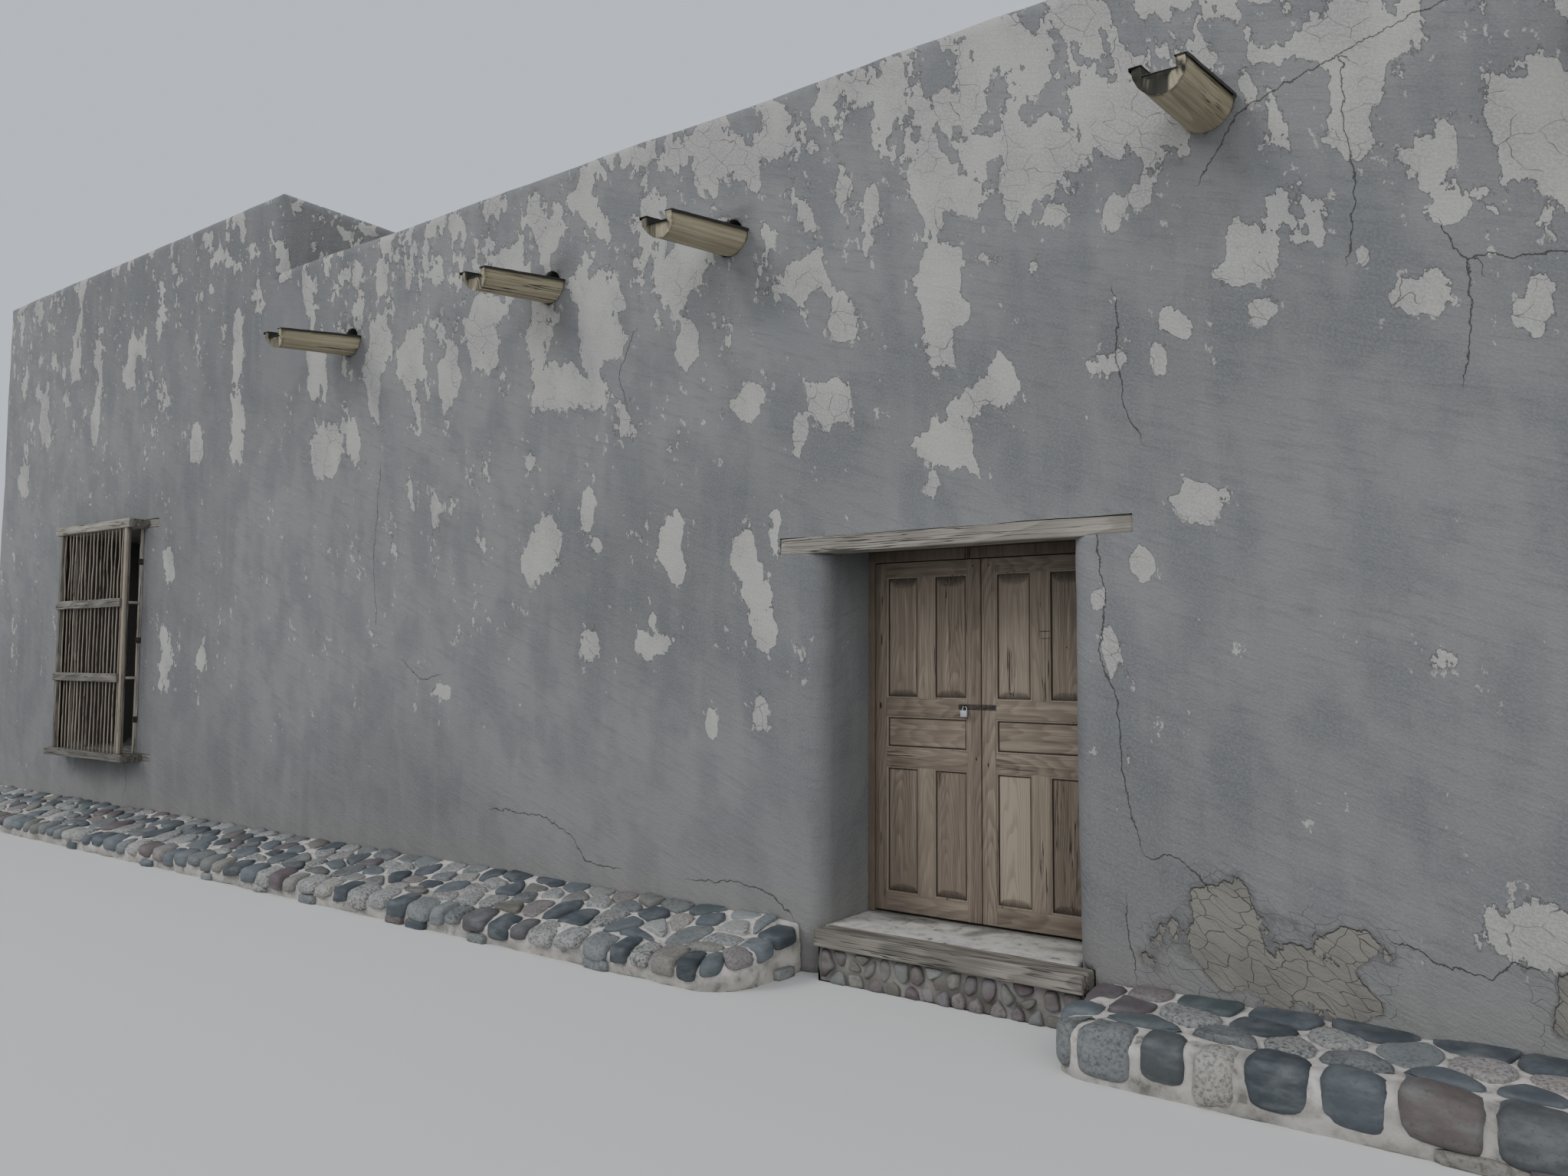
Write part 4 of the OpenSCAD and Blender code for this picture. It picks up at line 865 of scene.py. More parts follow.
def wall_marks(x, y, z):
    """Bare adobe, smooth repair, stains with painted shade inside the walls and in the window openings, and
    dust.
    """
    front = y < FRONT + 0.3
    bare = 0.42 * front * (1 - smooth(in_oval(x, z, DRIED_FOOT), 0.7, 1.1))
    for oval in BARE:
        bare = np.maximum(bare, front * (1.0 - 0.55 * in_oval(x, z, oval)))
    tongue = 1 - smooth(in_oval(x, z, REPAIR_TONGUE), 0.9, 1.05)
    low = 0.45 * (1 - smooth(in_oval(x, z, REPAIR_LOW), 0.94, 1.0))
    repair = front * np.maximum(tongue, low)
    stain_and_shade = np.zeros(len(x))
    for middle in SPOUT_MIDDLES:
        near = (1 - smooth(np.abs(x - middle), 0.10, 0.28)) * (1 - smooth(4.5 - z, 0.2, 0.9))
        stain_and_shade = np.maximum(stain_and_shade, 0.25 * near * front * (z < 4.6))
    # Painted shade on the walls' inner faces, below the roofs
    roof = np.where(np.abs(x) > JOIN, BLOCK_TOP, MAIN_TOP) - 0.80
    depth = np.minimum(np.minimum(y - FRONT, BACK - y), END - np.abs(x))
    stain_and_shade = np.maximum(stain_and_shade, 0.9 * (depth > 0.76) * (z < roof))
    # Painted shade in and around each window opening, behind its cage
    inside = (np.abs(np.abs(x) - WINDOW_X) < WINDOW_HALF) & (z > WINDOW_LOW) & (z < WINDOW_HIGH)
    stain_and_shade = np.maximum(stain_and_shade, inside * (y < FRONT + 0.85))
    below = in_oval(np.abs(x), z, (WINDOW_X, 0.66, 0.80, 0.30))
    stain_and_shade = np.maximum(stain_and_shade, front * 0.30 * (1 - smooth(below, 0.5, 1.0)))
    dust = 0.6 * (1 - smooth(z, 0.30, 0.75))
    return bare, repair, stain_and_shade, dust


def paint_attributes(piece):
    """Writes the wall's marks to the piece's own attributes."""
    mesh = piece.data
    flat = np.empty(len(mesh.vertices) * 3)
    mesh.vertices.foreach_get("co", flat)
    x, y, z = flat.reshape(-1, 3).T
    drift = np.array([noise.noise(Vector((a * 0.45, b * 0.45, c * 0.6))) for a, b, c in zip(x, y, z)])
    columns = (flake_marks(x, y, z, drift), *crack_marks(x, y, z), *wall_marks(x, y, z), drift)
    for name, column in zip(ATTRIBUTES, columns):
        mesh.attributes.new(name, "FLOAT", "POINT").data.foreach_set("value", column.astype(np.float32))


def soften_edges(bm, lo, hi):
    """Rounds the open top edges and the free upright corners of a wall."""
    bmesh.ops.bisect_plane(bm, geom=bm.verts[:] + bm.edges[:] + bm.faces[:], dist=1e-5,
                           plane_co=(0, 0, MAIN_TOP + CORNER_SOFT), plane_no=(0, 0, 1))
    seam = BACK - WALL_THICK
    chosen = []
    for edge in bm.edges:
        a, b = (v.co for v in edge.verts)
        middle = (a + b) / 2
        if len(edge.link_faces) != 2 or edge.calc_face_angle() < CRISP_ANGLE:
            continue
        level = abs(a.z - hi.z) < 1e-3 and abs(b.z - hi.z) < 1e-3
        upright = abs(a.x - b.x) < 1e-3 and abs(a.y - b.y) < 1e-3
        ends_wall = hi.y - lo.y > hi.x - lo.x
        outer_y = abs(abs(middle.y) - BACK) < 1e-3
        if level and ends_wall:
            chosen += [edge] if abs(abs(middle.y) - seam) > 1e-3 else []
        elif level:
            along_x = abs(a.y - b.y) < 1e-3
            block_side = hi.z > MAIN_TOP + 0.1 and abs(abs(middle.x) - JOIN) < 1e-3
            chosen += [edge] if along_x or abs(abs(middle.x) - END) < 1e-3 or block_side else []
        elif upright and outer_y:
            above = min(a.z, b.z) > MAIN_TOP + CORNER_SOFT - 1e-3 and abs(abs(middle.x) - JOIN) < 1e-3
            chosen += [edge] if above or abs(abs(middle.x) - END) < 1e-3 else []
    bmesh.ops.bevel(bm, geom=chosen, offset=CORNER_SOFT, offset_type="OFFSET", segments=4, profile=0.5,
                    affect="EDGES", clamp_overlap=True, material=-1)


def dress_wall(node, name, fine):
    """Worn mud wall in a CAD wall's place, with a grid of the given step on its outer faces."""
    bm = merged_copy(node)
    lo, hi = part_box(node)
    soften_edges(bm, lo, hi)
    faces = [f for f in bm.faces if outside(f.calc_center_median()) > 0.02]
    along = 1 if hi.y - lo.y > hi.x - lo.x else 0
    faces = cut_faces(bm, faces, along, grid_places(lo[along], hi[along], fine))
    faces = cut_faces(bm, faces, 2, grid_places(lo.z, hi.z, fine))
    thin = [f for f in faces if abs(f.normal[1 - along]) < 0.9]
    cut_faces(bm, thin, 1 - along, grid_places(lo[1 - along], hi[1 - along], max(fine, 0.06)))
    for vertex in bm.verts:
        worn_place = vertex.co + worn(vertex.co)
        worn_place.z = max(lo.z, min(hi.z, worn_place.z - 0.012 * eased(vertex.co.z, hi.z - 0.3, hi.z)))
        vertex.co = worn_place
    piece = new_piece(name, bm, PLASTER, "house")
    paint_attributes(piece)
    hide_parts(node)

# Cobbled plinths

PLINTH_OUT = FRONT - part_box("front_plinth_left")[0].y
CORNER_R = {"front_plinth_left": 0.34, "front_plinth_right": 0.205}
EDGE_DEEP, EDGE_ROUND, STONE_SUNK = 0.19, 0.075, 0.020
# How far the mortar stands back from the rim, how far in that fades out, and its drop below the stones
MORTAR_BACK, MORTAR_REACH, BED_DROP = 0.030, 0.16, 0.019


def ledge_heights(node):
    """Height of a plinth at the wall and at its outer edge."""
    points = [v.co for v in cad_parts[node].data.vertices]
    outer = [p.z for p in points if out_from_wall(p) > PLINTH_OUT - 0.001]
    return max(p.z for p in points), max(outer)


def out_from_wall(p):
    """Distance of a place outside the walls' rectangle."""
    return max(abs(p.x) - END, FRONT - p.y, p.y - BACK)


def ledge_at(p, wall_z, edge_z):
    """Height of a plinth's sloping top at a place."""
    share = min(1.0, max(0.0, out_from_wall(p) / PLINTH_OUT))
    return wall_z + (edge_z - wall_z) * share


def plinth_outline(node):
    """Convex outline of a plinth's field of stones as half planes: a point and the direction outwards."""
    lo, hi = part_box(node)
    planes = [((lo.x + EDGE_DEEP * (lo.x < -END), 0), (-1, 0)),
              ((hi.x - EDGE_DEEP * (hi.x > END), 0), (1, 0)),
              ((0, lo.y + EDGE_DEEP * (lo.y < FRONT)), (0, -1)),
              ((0, hi.y - EDGE_DEEP * (hi.y > BACK)), (0, 1))]
    radius = CORNER_R.get(node)
    if radius:
        side = 1 if node.endswith("left") else -1
        edge = hi.x if side > 0 else lo.x
        planes.append(((edge - side * EDGE_DEEP, 0), (side, 0)))
        for turn in (20, 45, 70):
            away = (side * math.cos(math.radians(turn)), -math.sin(math.radians(turn)))
            middle = (edge - side * radius, lo.y + radius)
            inner = radius - EDGE_DEEP
            planes.append(((middle[0] + inner * away[0], middle[1] + inner * away[1]), away))
    return planes


def edge_points(node):
    """Corners of a plinth's outer edge, walked with the plinth on the left hand."""
    lo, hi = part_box(node)
    radius = CORNER_R.get(node)
    turns = [math.radians(a) for a in range(-90, 1, 15)]
    if node == "front_plinth_left":
        arc = [(hi.x - radius + radius * math.cos(t), lo.y + radius + radius * math.sin(t)) for t in turns]
        return [(lo.x, FRONT), (lo.x, lo.y)] + arc + [(hi.x, FRONT)]
    if node == "front_plinth_right":
        arc = [(lo.x + radius + radius * math.sin(t), lo.y + radius - radius * math.cos(t)) for t in turns]
        return [(lo.x, FRONT)] + arc + [(hi.x, lo.y), (hi.x, FRONT)]
    if node == "left_end_plinth":
        return [(lo.x, BACK), (lo.x, FRONT)]
    if node == "right_end_plinth":
        return [(hi.x, FRONT), (hi.x, BACK)]
    return [(hi.x, BACK), (hi.x, hi.y), (lo.x, hi.y), (lo.x, BACK)]


def walk(points, distance):
    """Place and inward direction at a distance along a line of points."""
    for (x0, y0), (x1, y1) in zip(points, points[1:]):
        length = math.hypot(x1 - x0, y1 - y0)
        if distance <= length or (x1, y1) == points[-1]:
            ahead = ((x1 - x0) / length, (y1 - y0) / length)
            place = Vector((x0 + ahead[0] * distance, y0 + ahead[1] * distance, 0))
            return place, Vector((-ahead[1], ahead[0], 0))
        distance -= length


def ball(bm, fine):
    """Points of a new ball, to be shaped as a stone."""
    return bmesh.ops.create_icosphere(bm, subdivisions=3 if fine else 2, radius=1)["verts"]


def lay_edge_stones(bm, node, widths, heights, rng, near):
    """Boulders along a plinth's outer edge, that show in its top and in its face."""
    points = edge_points(node)
    total = sum(math.dist(a, b) for a, b in zip(points, points[1:]))
    wall_z, edge_z = ledge_heights(node)
    slope = (wall_z - edge_z) / PLINTH_OUT
    done = 0.01
    while done < total - 0.08:
        width = min(rng.uniform(*widths), total - done)
        half = Vector(((width - rng.uniform(0.012, 0.030)) / 2, rng.uniform(0.46, 0.53) * EDGE_DEEP,
                       rng.uniform(*heights) / 2))
        middle = done + width / 2
        done += width
        place = walk(points, middle)[0]
        made = ball(bm, near(place.x, place.y))
        start = far_place(rng, 90)
        sunk, rise = rng.uniform(0.004, 0.016), rng.uniform(-0.004, 0.012)
        lean = rng.uniform(-0.12, 0.12)
        boxy = rng.uniform(0.42, 0.64)
        for vertex in made:
            p = vertex.co.copy()
            lump = 1 + 0.16 * noise.noise(p * 1.2 + start) + 0.05 * noise.noise(p * 3.4 + start)
            a, b, c = (math.copysign(abs(v) ** boxy, v) * size * min(1.0, lump) for v, size in zip(p, half))
            spot, inward = walk(points, min(total, max(0.0, middle + a)))
            deep = sunk + half.y + b
            spot += inward * deep
            surface = wall_z - slope * min(PLINTH_OUT, max(0.0, out_from_wall(spot)))
            spot.z = max(0.003, surface + rise - half.z + c + lean * a)
            vertex.co = spot
        set_marks(bm, made, None, rng.random(), 0.0, rng.choice((0.0, 0.0, 0.3, 0.7)))


def inside_planes(x, y, planes, margin):
    """Whether a place lies within all the half planes, by a margin."""
    return all((x - p[0]) * n[0] + (y - p[1]) * n[1] < -margin for p, n in planes)


def spread_points(planes, box, step_x, step_y, rng, rounds=5):
    """Staggered points over an outline, pushed about and then eased apart."""
    points = []
    rows = max(1, round((box[3] - box[1]) / step_y))
    for row in range(rows):
        y = box[1] + (row + 0.5) * (box[3] - box[1]) / rows
        x = box[0] + (0.3 + 0.5 * (row % 2)) * step_x
        while x < box[2]:
            point = (x + rng.uniform(-0.3, 0.3) * step_x, y + rng.uniform(-0.28, 0.28) * step_y)
            if inside_planes(*point, planes, 0.03):
                points.append(point)
            x += step_x * rng.uniform(0.7, 1.35)
    if not points:
        return []
    places = np.array(points)
    stretch = np.array([1.0, step_x / step_y])
    for _ in range(rounds):
        gaps = (places[:, None, :] - places[None, :, :]) * stretch
        away = np.hypot(gaps[..., 0], gaps[..., 1]) + 1e-6
        push = np.clip(0.95 * step_x - away, 0, None) / away
        np.fill_diagonal(push, 0)
        moved = places + 0.18 * (gaps * push[..., None]).sum(axis=1) / stretch
        keep = [inside_planes(a, b, planes, 0.035) for a, b in moved]
        places = np.where(np.array(keep)[:, None], moved, places)
    return places


def stone_sides(places, index, planes, joint, squeeze):
    """Half planes round one stone as distance and direction, from its neighbours and the outline."""
    here = places[index]
    gaps = places - here
    away = np.hypot(gaps[:, 0], gaps[:, 1] * squeeze)
    sides = []
    for other in np.argsort(away)[1:14]:
        step_x, step_y = gaps[other]
        length = math.hypot(step_x, step_y)
        sides.append((length / 2 - joint / 2, step_x / length, step_y / length))
    for point, normal in planes:
        distance = (point[0] - here[0]) * normal[0] + (point[1] - here[1]) * normal[1]
        sides.append((max(0.02, distance - joint * 0.3), *normal))
    return sides


def stone_reach(sides, cos_a, sin_a, power=7.0):
    """Distance from a stone's middle to its rounded outline in one direction."""
    total = 0.0
    for distance, nx, ny in sides:
        facing = (nx * cos_a + ny * sin_a) / max(distance, 0.012)
        if facing > 0:
            total += facing ** power
    return total ** (-1 / power) if total > 0 else 0.2


def add_stone(bm, sides, to_place, high, deep, fine, tint, dust, rng):
    """One cobble pressed into its outline. to_place turns a flat offset and a rise into a place."""
    made = ball(bm, fine)
    start = far_place(rng, 90)
    flat = rng.uniform(0.42, 0.62)
    for vertex in made:
        p = vertex.co
        around = math.hypot(p.x, p.y)
        lump = 1 + 0.10 * noise.noise(p * 1.3 + start) + 0.035 * noise.noise(p * 3.2 + start)
        if around > 1e-6:
            reach = stone_reach(sides, p.x / around, p.y / around) * min(1.0, lump)
            spread = around ** 0.55 * reach
            offset = (spread * p.x / around, spread * p.y / around)
        else:
            offset = (0, 0)
        rise = abs(p.z) ** flat
        lift = high * rise * (1 + 0.35 * noise.noise(p * 1.1 - start)) if p.z > 0 else -deep * rise
        vertex.co = to_place(offset[0], offset[1], lift)
    set_marks(bm, made, None, tint, 0.0, dust)


def lay_top_stones(bm, node, step_x, step_y, rng, near):
    """Cobbles laid on a plinth's sloping top."""
    planes = plinth_outline(node)
    lo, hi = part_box(node)
    wall_z, edge_z = ledge_heights(node)
    swap = hi.y - lo.y > hi.x - lo.x
    steps = (step_y, step_x) if swap else (step_x, step_y)
    places = spread_points(planes, (lo.x, lo.y, hi.x, hi.y), *steps, rng)
    squeeze = steps[0] / steps[1]
    for index, (x, y) in enumerate(places):
        joint = rng.uniform(0.012, 0.030)
        sides = stone_sides(places, index, planes, joint, squeeze)
        tilt_x, tilt_y = rng.uniform(-0.05, 0.05), rng.uniform(-0.05, 0.05)

        def to_place(across, ahead, lift, x=x, y=y, tilt_x=tilt_x, tilt_y=tilt_y):
            """Place over the sloping top of a point given from the stone's middle."""
            spot = Vector((x + across, y + ahead, 0))
            surface = ledge_at(spot, wall_z, edge_z)
            spot.z = surface - STONE_SUNK + lift + tilt_x * across + tilt_y * ahead
            return spot

        fine = near(x, y)
        add_stone(bm, sides, to_place, rng.uniform(0.018, 0.034), 0.05, fine, rng.random(),
                  rng.choice((0.0, 0.0, 0.25, 0.6)), rng)


def lay_face_stones(bm, line, top, step_x, share, rng, near):
    """Stones showing in the upright face along a line, up to a height."""
    length = sum(math.dist(a, b) for a, b in zip(line, line[1:]))
    planes = [((0, 0), (-1, 0)), ((length, 0), (1, 0)), ((0, -0.02), (0, -1)), ((0, top), (0, 1))]
    rows = max(1, round(top / (0.6 * step_x)))
    places = spread_points(planes, (0, 0.01, length, top), step_x, top / rows, rng, 4)
    for index, (along, height) in enumerate(places):
        if rng.random() > share:
            continue
        sides = stone_sides(places, index, planes, rng.uniform(0.012, 0.03), 2.0)
        sides += [(0.55 * step_x, 1, 0), (0.55 * step_x, -1, 0)]

        def to_place(across, up, lift, along=along, height=height):
            """Place before the upright face of a point given from the stone's middle."""
            spot, inward = walk(line, min(length, max(0.0, along + across)))
            spot -= inward * min(-0.002, lift - 0.046)
            spot.z = max(0.002, height + up)
            return spot

        here = to_place(0, 0, 0)
        add_stone(bm, sides, to_place, rng.uniform(0.026, 0.044), 0.05, near(here.x, here.y), rng.random(),
                  rng.choice((0.0, 0.3, 0.8)), rng)


def rim(node, lo, hi, p):
    """Distance of a place inside a plinth's outer rim, and the direction inwards."""
    choices = []
    if lo.x < -END:
        choices.append((p.x - lo.x, Vector((1, 0, 0))))
    if hi.x > END:
        choices.append((hi.x - p.x, Vector((-1, 0, 0))))
    if lo.y < FRONT:
        choices.append((p.y - lo.y, Vector((0, 1, 0))))
    if hi.y > BACK:
        choices.append((hi.y - p.y, Vector((0, -1, 0))))
    radius = CORNER_R.get(node)
    if radius:
        side = 1 if node.endswith("left") else -1
        edge = hi.x if side > 0 else lo.x
        to_middle = Vector((edge - side * radius - p.x, lo.y + radius - p.y, 0))
        if to_middle.y < 0:
            choices.append((side * (edge - p.x), Vector((-side, 0, 0))))
        elif side * to_middle.x < 0:
            choices.append((radius - to_middle.length, to_middle.normalized()))
    return min(choices, key=lambda choice: choice[0])


def mortar_bed(node, name, step, rough):
    """Crumbly bed of lime mortar between a plinth's stones, with a rounded rim."""
    bm = merged_copy(node)
    bm.verts.layers.float.new("stain_and_shade")
    lo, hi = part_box(node)
    wall_z, edge_z = ledge_heights(node)
    faces = [f for f in bm.faces if f.normal.z > -0.9]
    for axis, spacing in ((0, step), (1, step), (2, 0.03)):
        faces = cut_faces(bm, faces, axis, grid_places(lo[axis], hi[axis], spacing))
    mark = bm.verts.layers.float["stain_and_shade"]
    for vertex in bm.verts:
        p = vertex.co
        lump = noise.noise(p * 5.0) * 0.9 + noise.noise(p * 17.0) * 0.5
        inside, inward = rim(node, lo, hi, p)
        top = ledge_at(p, wall_z, edge_z) - BED_DROP
        if p.z > 0.004:
            p.z = max(0.004, p.z - BED_DROP + rough * 0.5 * lump)
        if inside < MORTAR_REACH:
            push = (MORTAR_BACK + rough * max(0.0, 0.5 + 0.6 * lump)) * (1 - inside / MORTAR_REACH)
            p += inward * push
            inside += push
        over = Vector((EDGE_ROUND + MORTAR_BACK - inside, p.z - top + EDGE_ROUND))
        if over.x > 0 and over.y > 0 and over.length > EDGE_ROUND:
            back = over * (1 - EDGE_ROUND / over.length)
            p += inward * back.x
            p.z -= back.y
        dirt = (1 - eased(p.z, 0.0, 0.13)) * (0.62 + 0.6 * noise.noise(p * 6.0))
        soil = (0.26 + 0.4 * noise.noise(p * 9.0)) * eased(top - p.z, 0.02, 0.10)
        vertex[mark] = max(0.0, 0.8 * dirt, soil, 0.5 * eased(noise.noise(p * 2.3), 0.15, 0.45))
        p.z = max(0.0, p.z)
    return new_piece(name, bm, MORTAR, "house", 60)


def plinths():
    """Cobbles and mortar of the five plinths."""
    def near(x, y):
        """Whether a stone is seen from close by."""
        return y < FRONT and -5.5 < x < 4.0

    # Stone spacings on the top, share of stones below the edge, seed, widths and heights of the edge stones
    specs = [
        ("front_plinth_left", 0.225, 0.150, 0.42, 41, (0.15, 0.27), (0.075, 0.125)),
        ("front_plinth_right", 0.29, 0.20, 0.50, 64, (0.19, 0.31), (0.17, 0.25)),
        ("left_end_plinth", 0.28, 0.18, 0.35, 85, (0.16, 0.30), (0.08, 0.14)),
        ("right_end_plinth", 0.28, 0.18, 0.35, 92, (0.16, 0.30), (0.08, 0.14)),
        ("back_plinth", 0.30, 0.19, 0.35, 77, (0.16, 0.30), (0.08, 0.14)),
    ]
    for node, step_x, step_y, share, seed, widths, heights in specs:
        rng = random.Random(seed)
        bm = marked_mesh()
        lay_top_stones(bm, node, step_x, step_y, rng, near)
        lay_edge_stones(bm, node, widths, heights, rng, near)
        below = ledge_heights(node)[1] - 0.4 * sum(heights)
        lay_face_stones(bm, edge_points(node), below, 0.8 * step_x, share, rng, near)
        new_piece(node + "_stones", bm, STONE, "house", 70)
        bed = mortar_bed(node, node + "_mortar", 0.035 if node.startswith("front") else 0.07,
                         0.040 if node == "front_plinth_left" else 0.020)
        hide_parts(node)

# Door leaves

LEAF_LO, LEAF_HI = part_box("left_leaf_frame")
PANEL_LO, PANEL_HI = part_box("left_leaf_panels")
STILE, MUNTIN, BEAD = 0.088, 0.104, 0.011
# Heights of a leaf's rails and panels from its foot up
FOOT_RAIL, LOWER, SECOND_RAIL, MIDDLE, LOCK_RAIL, UPPER = 0.108, 0.748, 0.111, 0.193, 0.107, 0.733
SIDE_BEVEL, FIELD_RISE, SCOOP = 0.010, 0.009, 0.060
MITRE_STEPS = [(0.0016, -0.0022), (0.0018, 0.0010), (0.0030, -0.0012), (0.0046, -0.0056)]


def bead_ring(x0, x1, z0, z1, front, back, rng):
    """Mitred moulding round a panel, stepping down from the face of the leaf."""
    lo, hi = Vector((x0, front, z0)), Vector((x1, back, z1))
    bm = marked_block(lo, hi)
    face = min(bm.faces, key=lambda f: f.calc_center_median().y)
    rear = max(bm.faces, key=lambda f: f.calc_center_median().y)
    for thickness, depth in MITRE_STEPS:
        bmesh.ops.inset_region(bm, faces=[face], thickness=thickness, depth=depth, use_even_offset=True)
    bmesh.ops.inset_region(bm, faces=[rear], thickness=BEAD, depth=0.0, use_even_offset=True)
    rims = list(face.edges) + list(rear.edges)
    bmesh.ops.delete(bm, geom=[face, rear], context="FACES_ONLY")
    bmesh.ops.bridge_loops(bm, edges=rims)
    cut_faces(bm, bm.faces[:], 2, grid_places(z0, z1, 0.11))
    start = Vector((rng.uniform(0, 50), 0, 0))
    for vertex in bm.verts:
        vertex.co += noise.noise_vector(vertex.co * 9 + start) * 0.0007
    set_marks(bm, bm.verts, grain_place(2, (lo + hi) / 2, rng), 0.86 + rng.uniform(-0.12, 0.12))
    # Painted shade along the bead's outer and inner edges, in the grooves against the frame and the panel
    stain_and_shade = bm.verts.layers.float["stain_and_shade"]
    for vertex in bm.verts:
        p = vertex.co
        inner = min(p.x - x0, x1 - p.x, p.z - z0, z1 - p.z)
        vertex[stain_and_shade] = 0.75 if inner < 0.001 or inner > BEAD - 0.0015 else 0.0
    return bm


def scoop_drop(across, from_end, scoop, half):
    """Drop of a panel's end, cut as a hollow with rounded corners."""
    side = min(1.0, abs(across) / half)
    reach = scoop * (1 - side ** 3.0) ** 0.42
    if reach <= 1e-6 or from_end >= reach:
        return 0.0
    return 1.25 * FIELD_RISE * (1 - from_end / reach) ** 0.7


def panel_board(x0, x1, z0, z1, front, back, upright, top, foot, tint, figure, rng):
    """Panel with narrow side bevels and a scooped hollow at its top and foot."""
    lo, hi = Vector((x0, front, z0)), Vector((x1, back, z1))
    bm = marked_block(lo, hi)
    face = [f for f in bm.faces if f.calc_center_median().y < front + 1e-5]
    fine = 0.006
    columns = [x0 + 0.004, x0 + SIDE_BEVEL, x1 - SIDE_BEVEL, x1 - 0.004]
    columns += [x for x in grid_places(x0, x1, fine * 1.5) if x0 + 0.014 < x < x1 - 0.014]
    rows = [z for z in grid_places(z0, z1, fine)
            if (top and z > z1 - SCOOP - 0.012) or (foot and z < z0 + SCOOP + 0.012)]
    rows += [z for z in grid_places(z0 + SCOOP, z1 - SCOOP, 0.05) if z not in rows]
    rows += [z0 + 0.004, z1 - 0.004]
    rows += [] if top else [z1 - SIDE_BEVEL]
    rows += [] if foot else [z0 + SIDE_BEVEL]
    face = cut_faces(bm, face, 0, sorted(columns))
    cut_faces(bm, face, 2, sorted(rows))
    middle, half = (x0 + x1) / 2, (x1 - x0) / 2 - 0.006
    start = Vector((rng.uniform(0, 50), 0, rng.uniform(0, 50)))
    for vertex in bm.verts:
        if vertex.co.y > front + 1e-5:
            continue
        x, z = vertex.co.x, vertex.co.z
        drop = FIELD_RISE * max(0.0, 1 - min(x - x0, x1 - x) / SIDE_BEVEL)
        drop = max(drop, scoop_drop(x - middle, z1 - z, SCOOP, half) if top
                   else FIELD_RISE * max(0.0, 1 - (z1 - z) / SIDE_BEVEL))
        drop = max(drop, scoop_drop(x - middle, z - z0, SCOOP * 0.72, half) if foot
                   else FIELD_RISE * max(0.0, 1 - (z - z0) / SIDE_BEVEL))
        fibres = Vector((x * 70, 0, z * 2)) if upright else Vector((x * 2, 0, z * 70))
        vertex.co.y += drop + 0.0006 * noise.noise(fibres + start)
    set_marks(bm, bm.verts, grain_place(2 if upright else 0, (lo + hi) / 2, rng), tint, 0.0, figure)
    # Painted shade in the scooped hollows, deepest where the field drops most, and along the panel's edges
    stain_and_shade = bm.verts.layers.float["stain_and_shade"]
    for vertex in bm.verts:
        p = vertex.co
        from_edge = min(p.x - x0, x1 - p.x, p.z - z0, z1 - p.z)
        hollow = min(1.0, max(0.0, (p.y - front) / FIELD_RISE))
        vertex[stain_and_shade] = max(0.66 * hollow, 0.9 * (1 - eased(from_edge, 0.002, 0.009)))
    return bm


def dark_sliver(x, z, half_w, half_h, front, rng):
    """Thin dark knot, peg hole or drying check let into the face."""
    bm = marked_mesh()
    bmesh.ops.create_icosphere(bm, subdivisions=2, radius=1)
    bmesh.ops.scale(bm, vec=(half_w, 0.0011, half_h), verts=bm.verts)
    for vertex in bm.verts:
        vertex.co.x += 0.5 * half_w * noise.noise(Vector((vertex.co.z * 40, x * 9, z * 9)))
    bmesh.ops.translate(bm, vec=(x, front, z), verts=bm.verts)
    set_marks(bm, bm.verts, grain_place(2, (x, front, z), rng), 0.1, 1.0)
    return bm


# Knots, peg holes and checks of each leaf: distance from the hanging edge, height, half width and half height
SLIVERS = {
    "left": [(0.672, 2.045, 0.004, 0.007), (0.052, 1.62, 0.004, 0.040), (0.046, 1.22, 0.007, 0.022),
             (0.050, 0.42, 0.003, 0.045), (0.690, 0.93, 0.005, 0.012), (0.056, 1.86, 0.003, 0.030)],
    "right": [(0.672, 2.045, 0.004, 0.007), (0.682, 0.90, 0.005, 0.014), (0.130, 1.50, 0.003, 0.012),
              (0.205, 1.57, 0.003, 0.005), (0.330, 1.66, 0.034, 0.0025), (0.330, 1.62, 0.030, 0.0020)],
}
# Paleness of the panels, from the foot up and from the hanging side in
PANEL_TINTS = {"left": (0.48, 0.42, 0.55, 0.56, 0.44), "right": (0.34, 0.86, 0.52, 0.46, 0.74)}
FIGURED = ("right", 1)


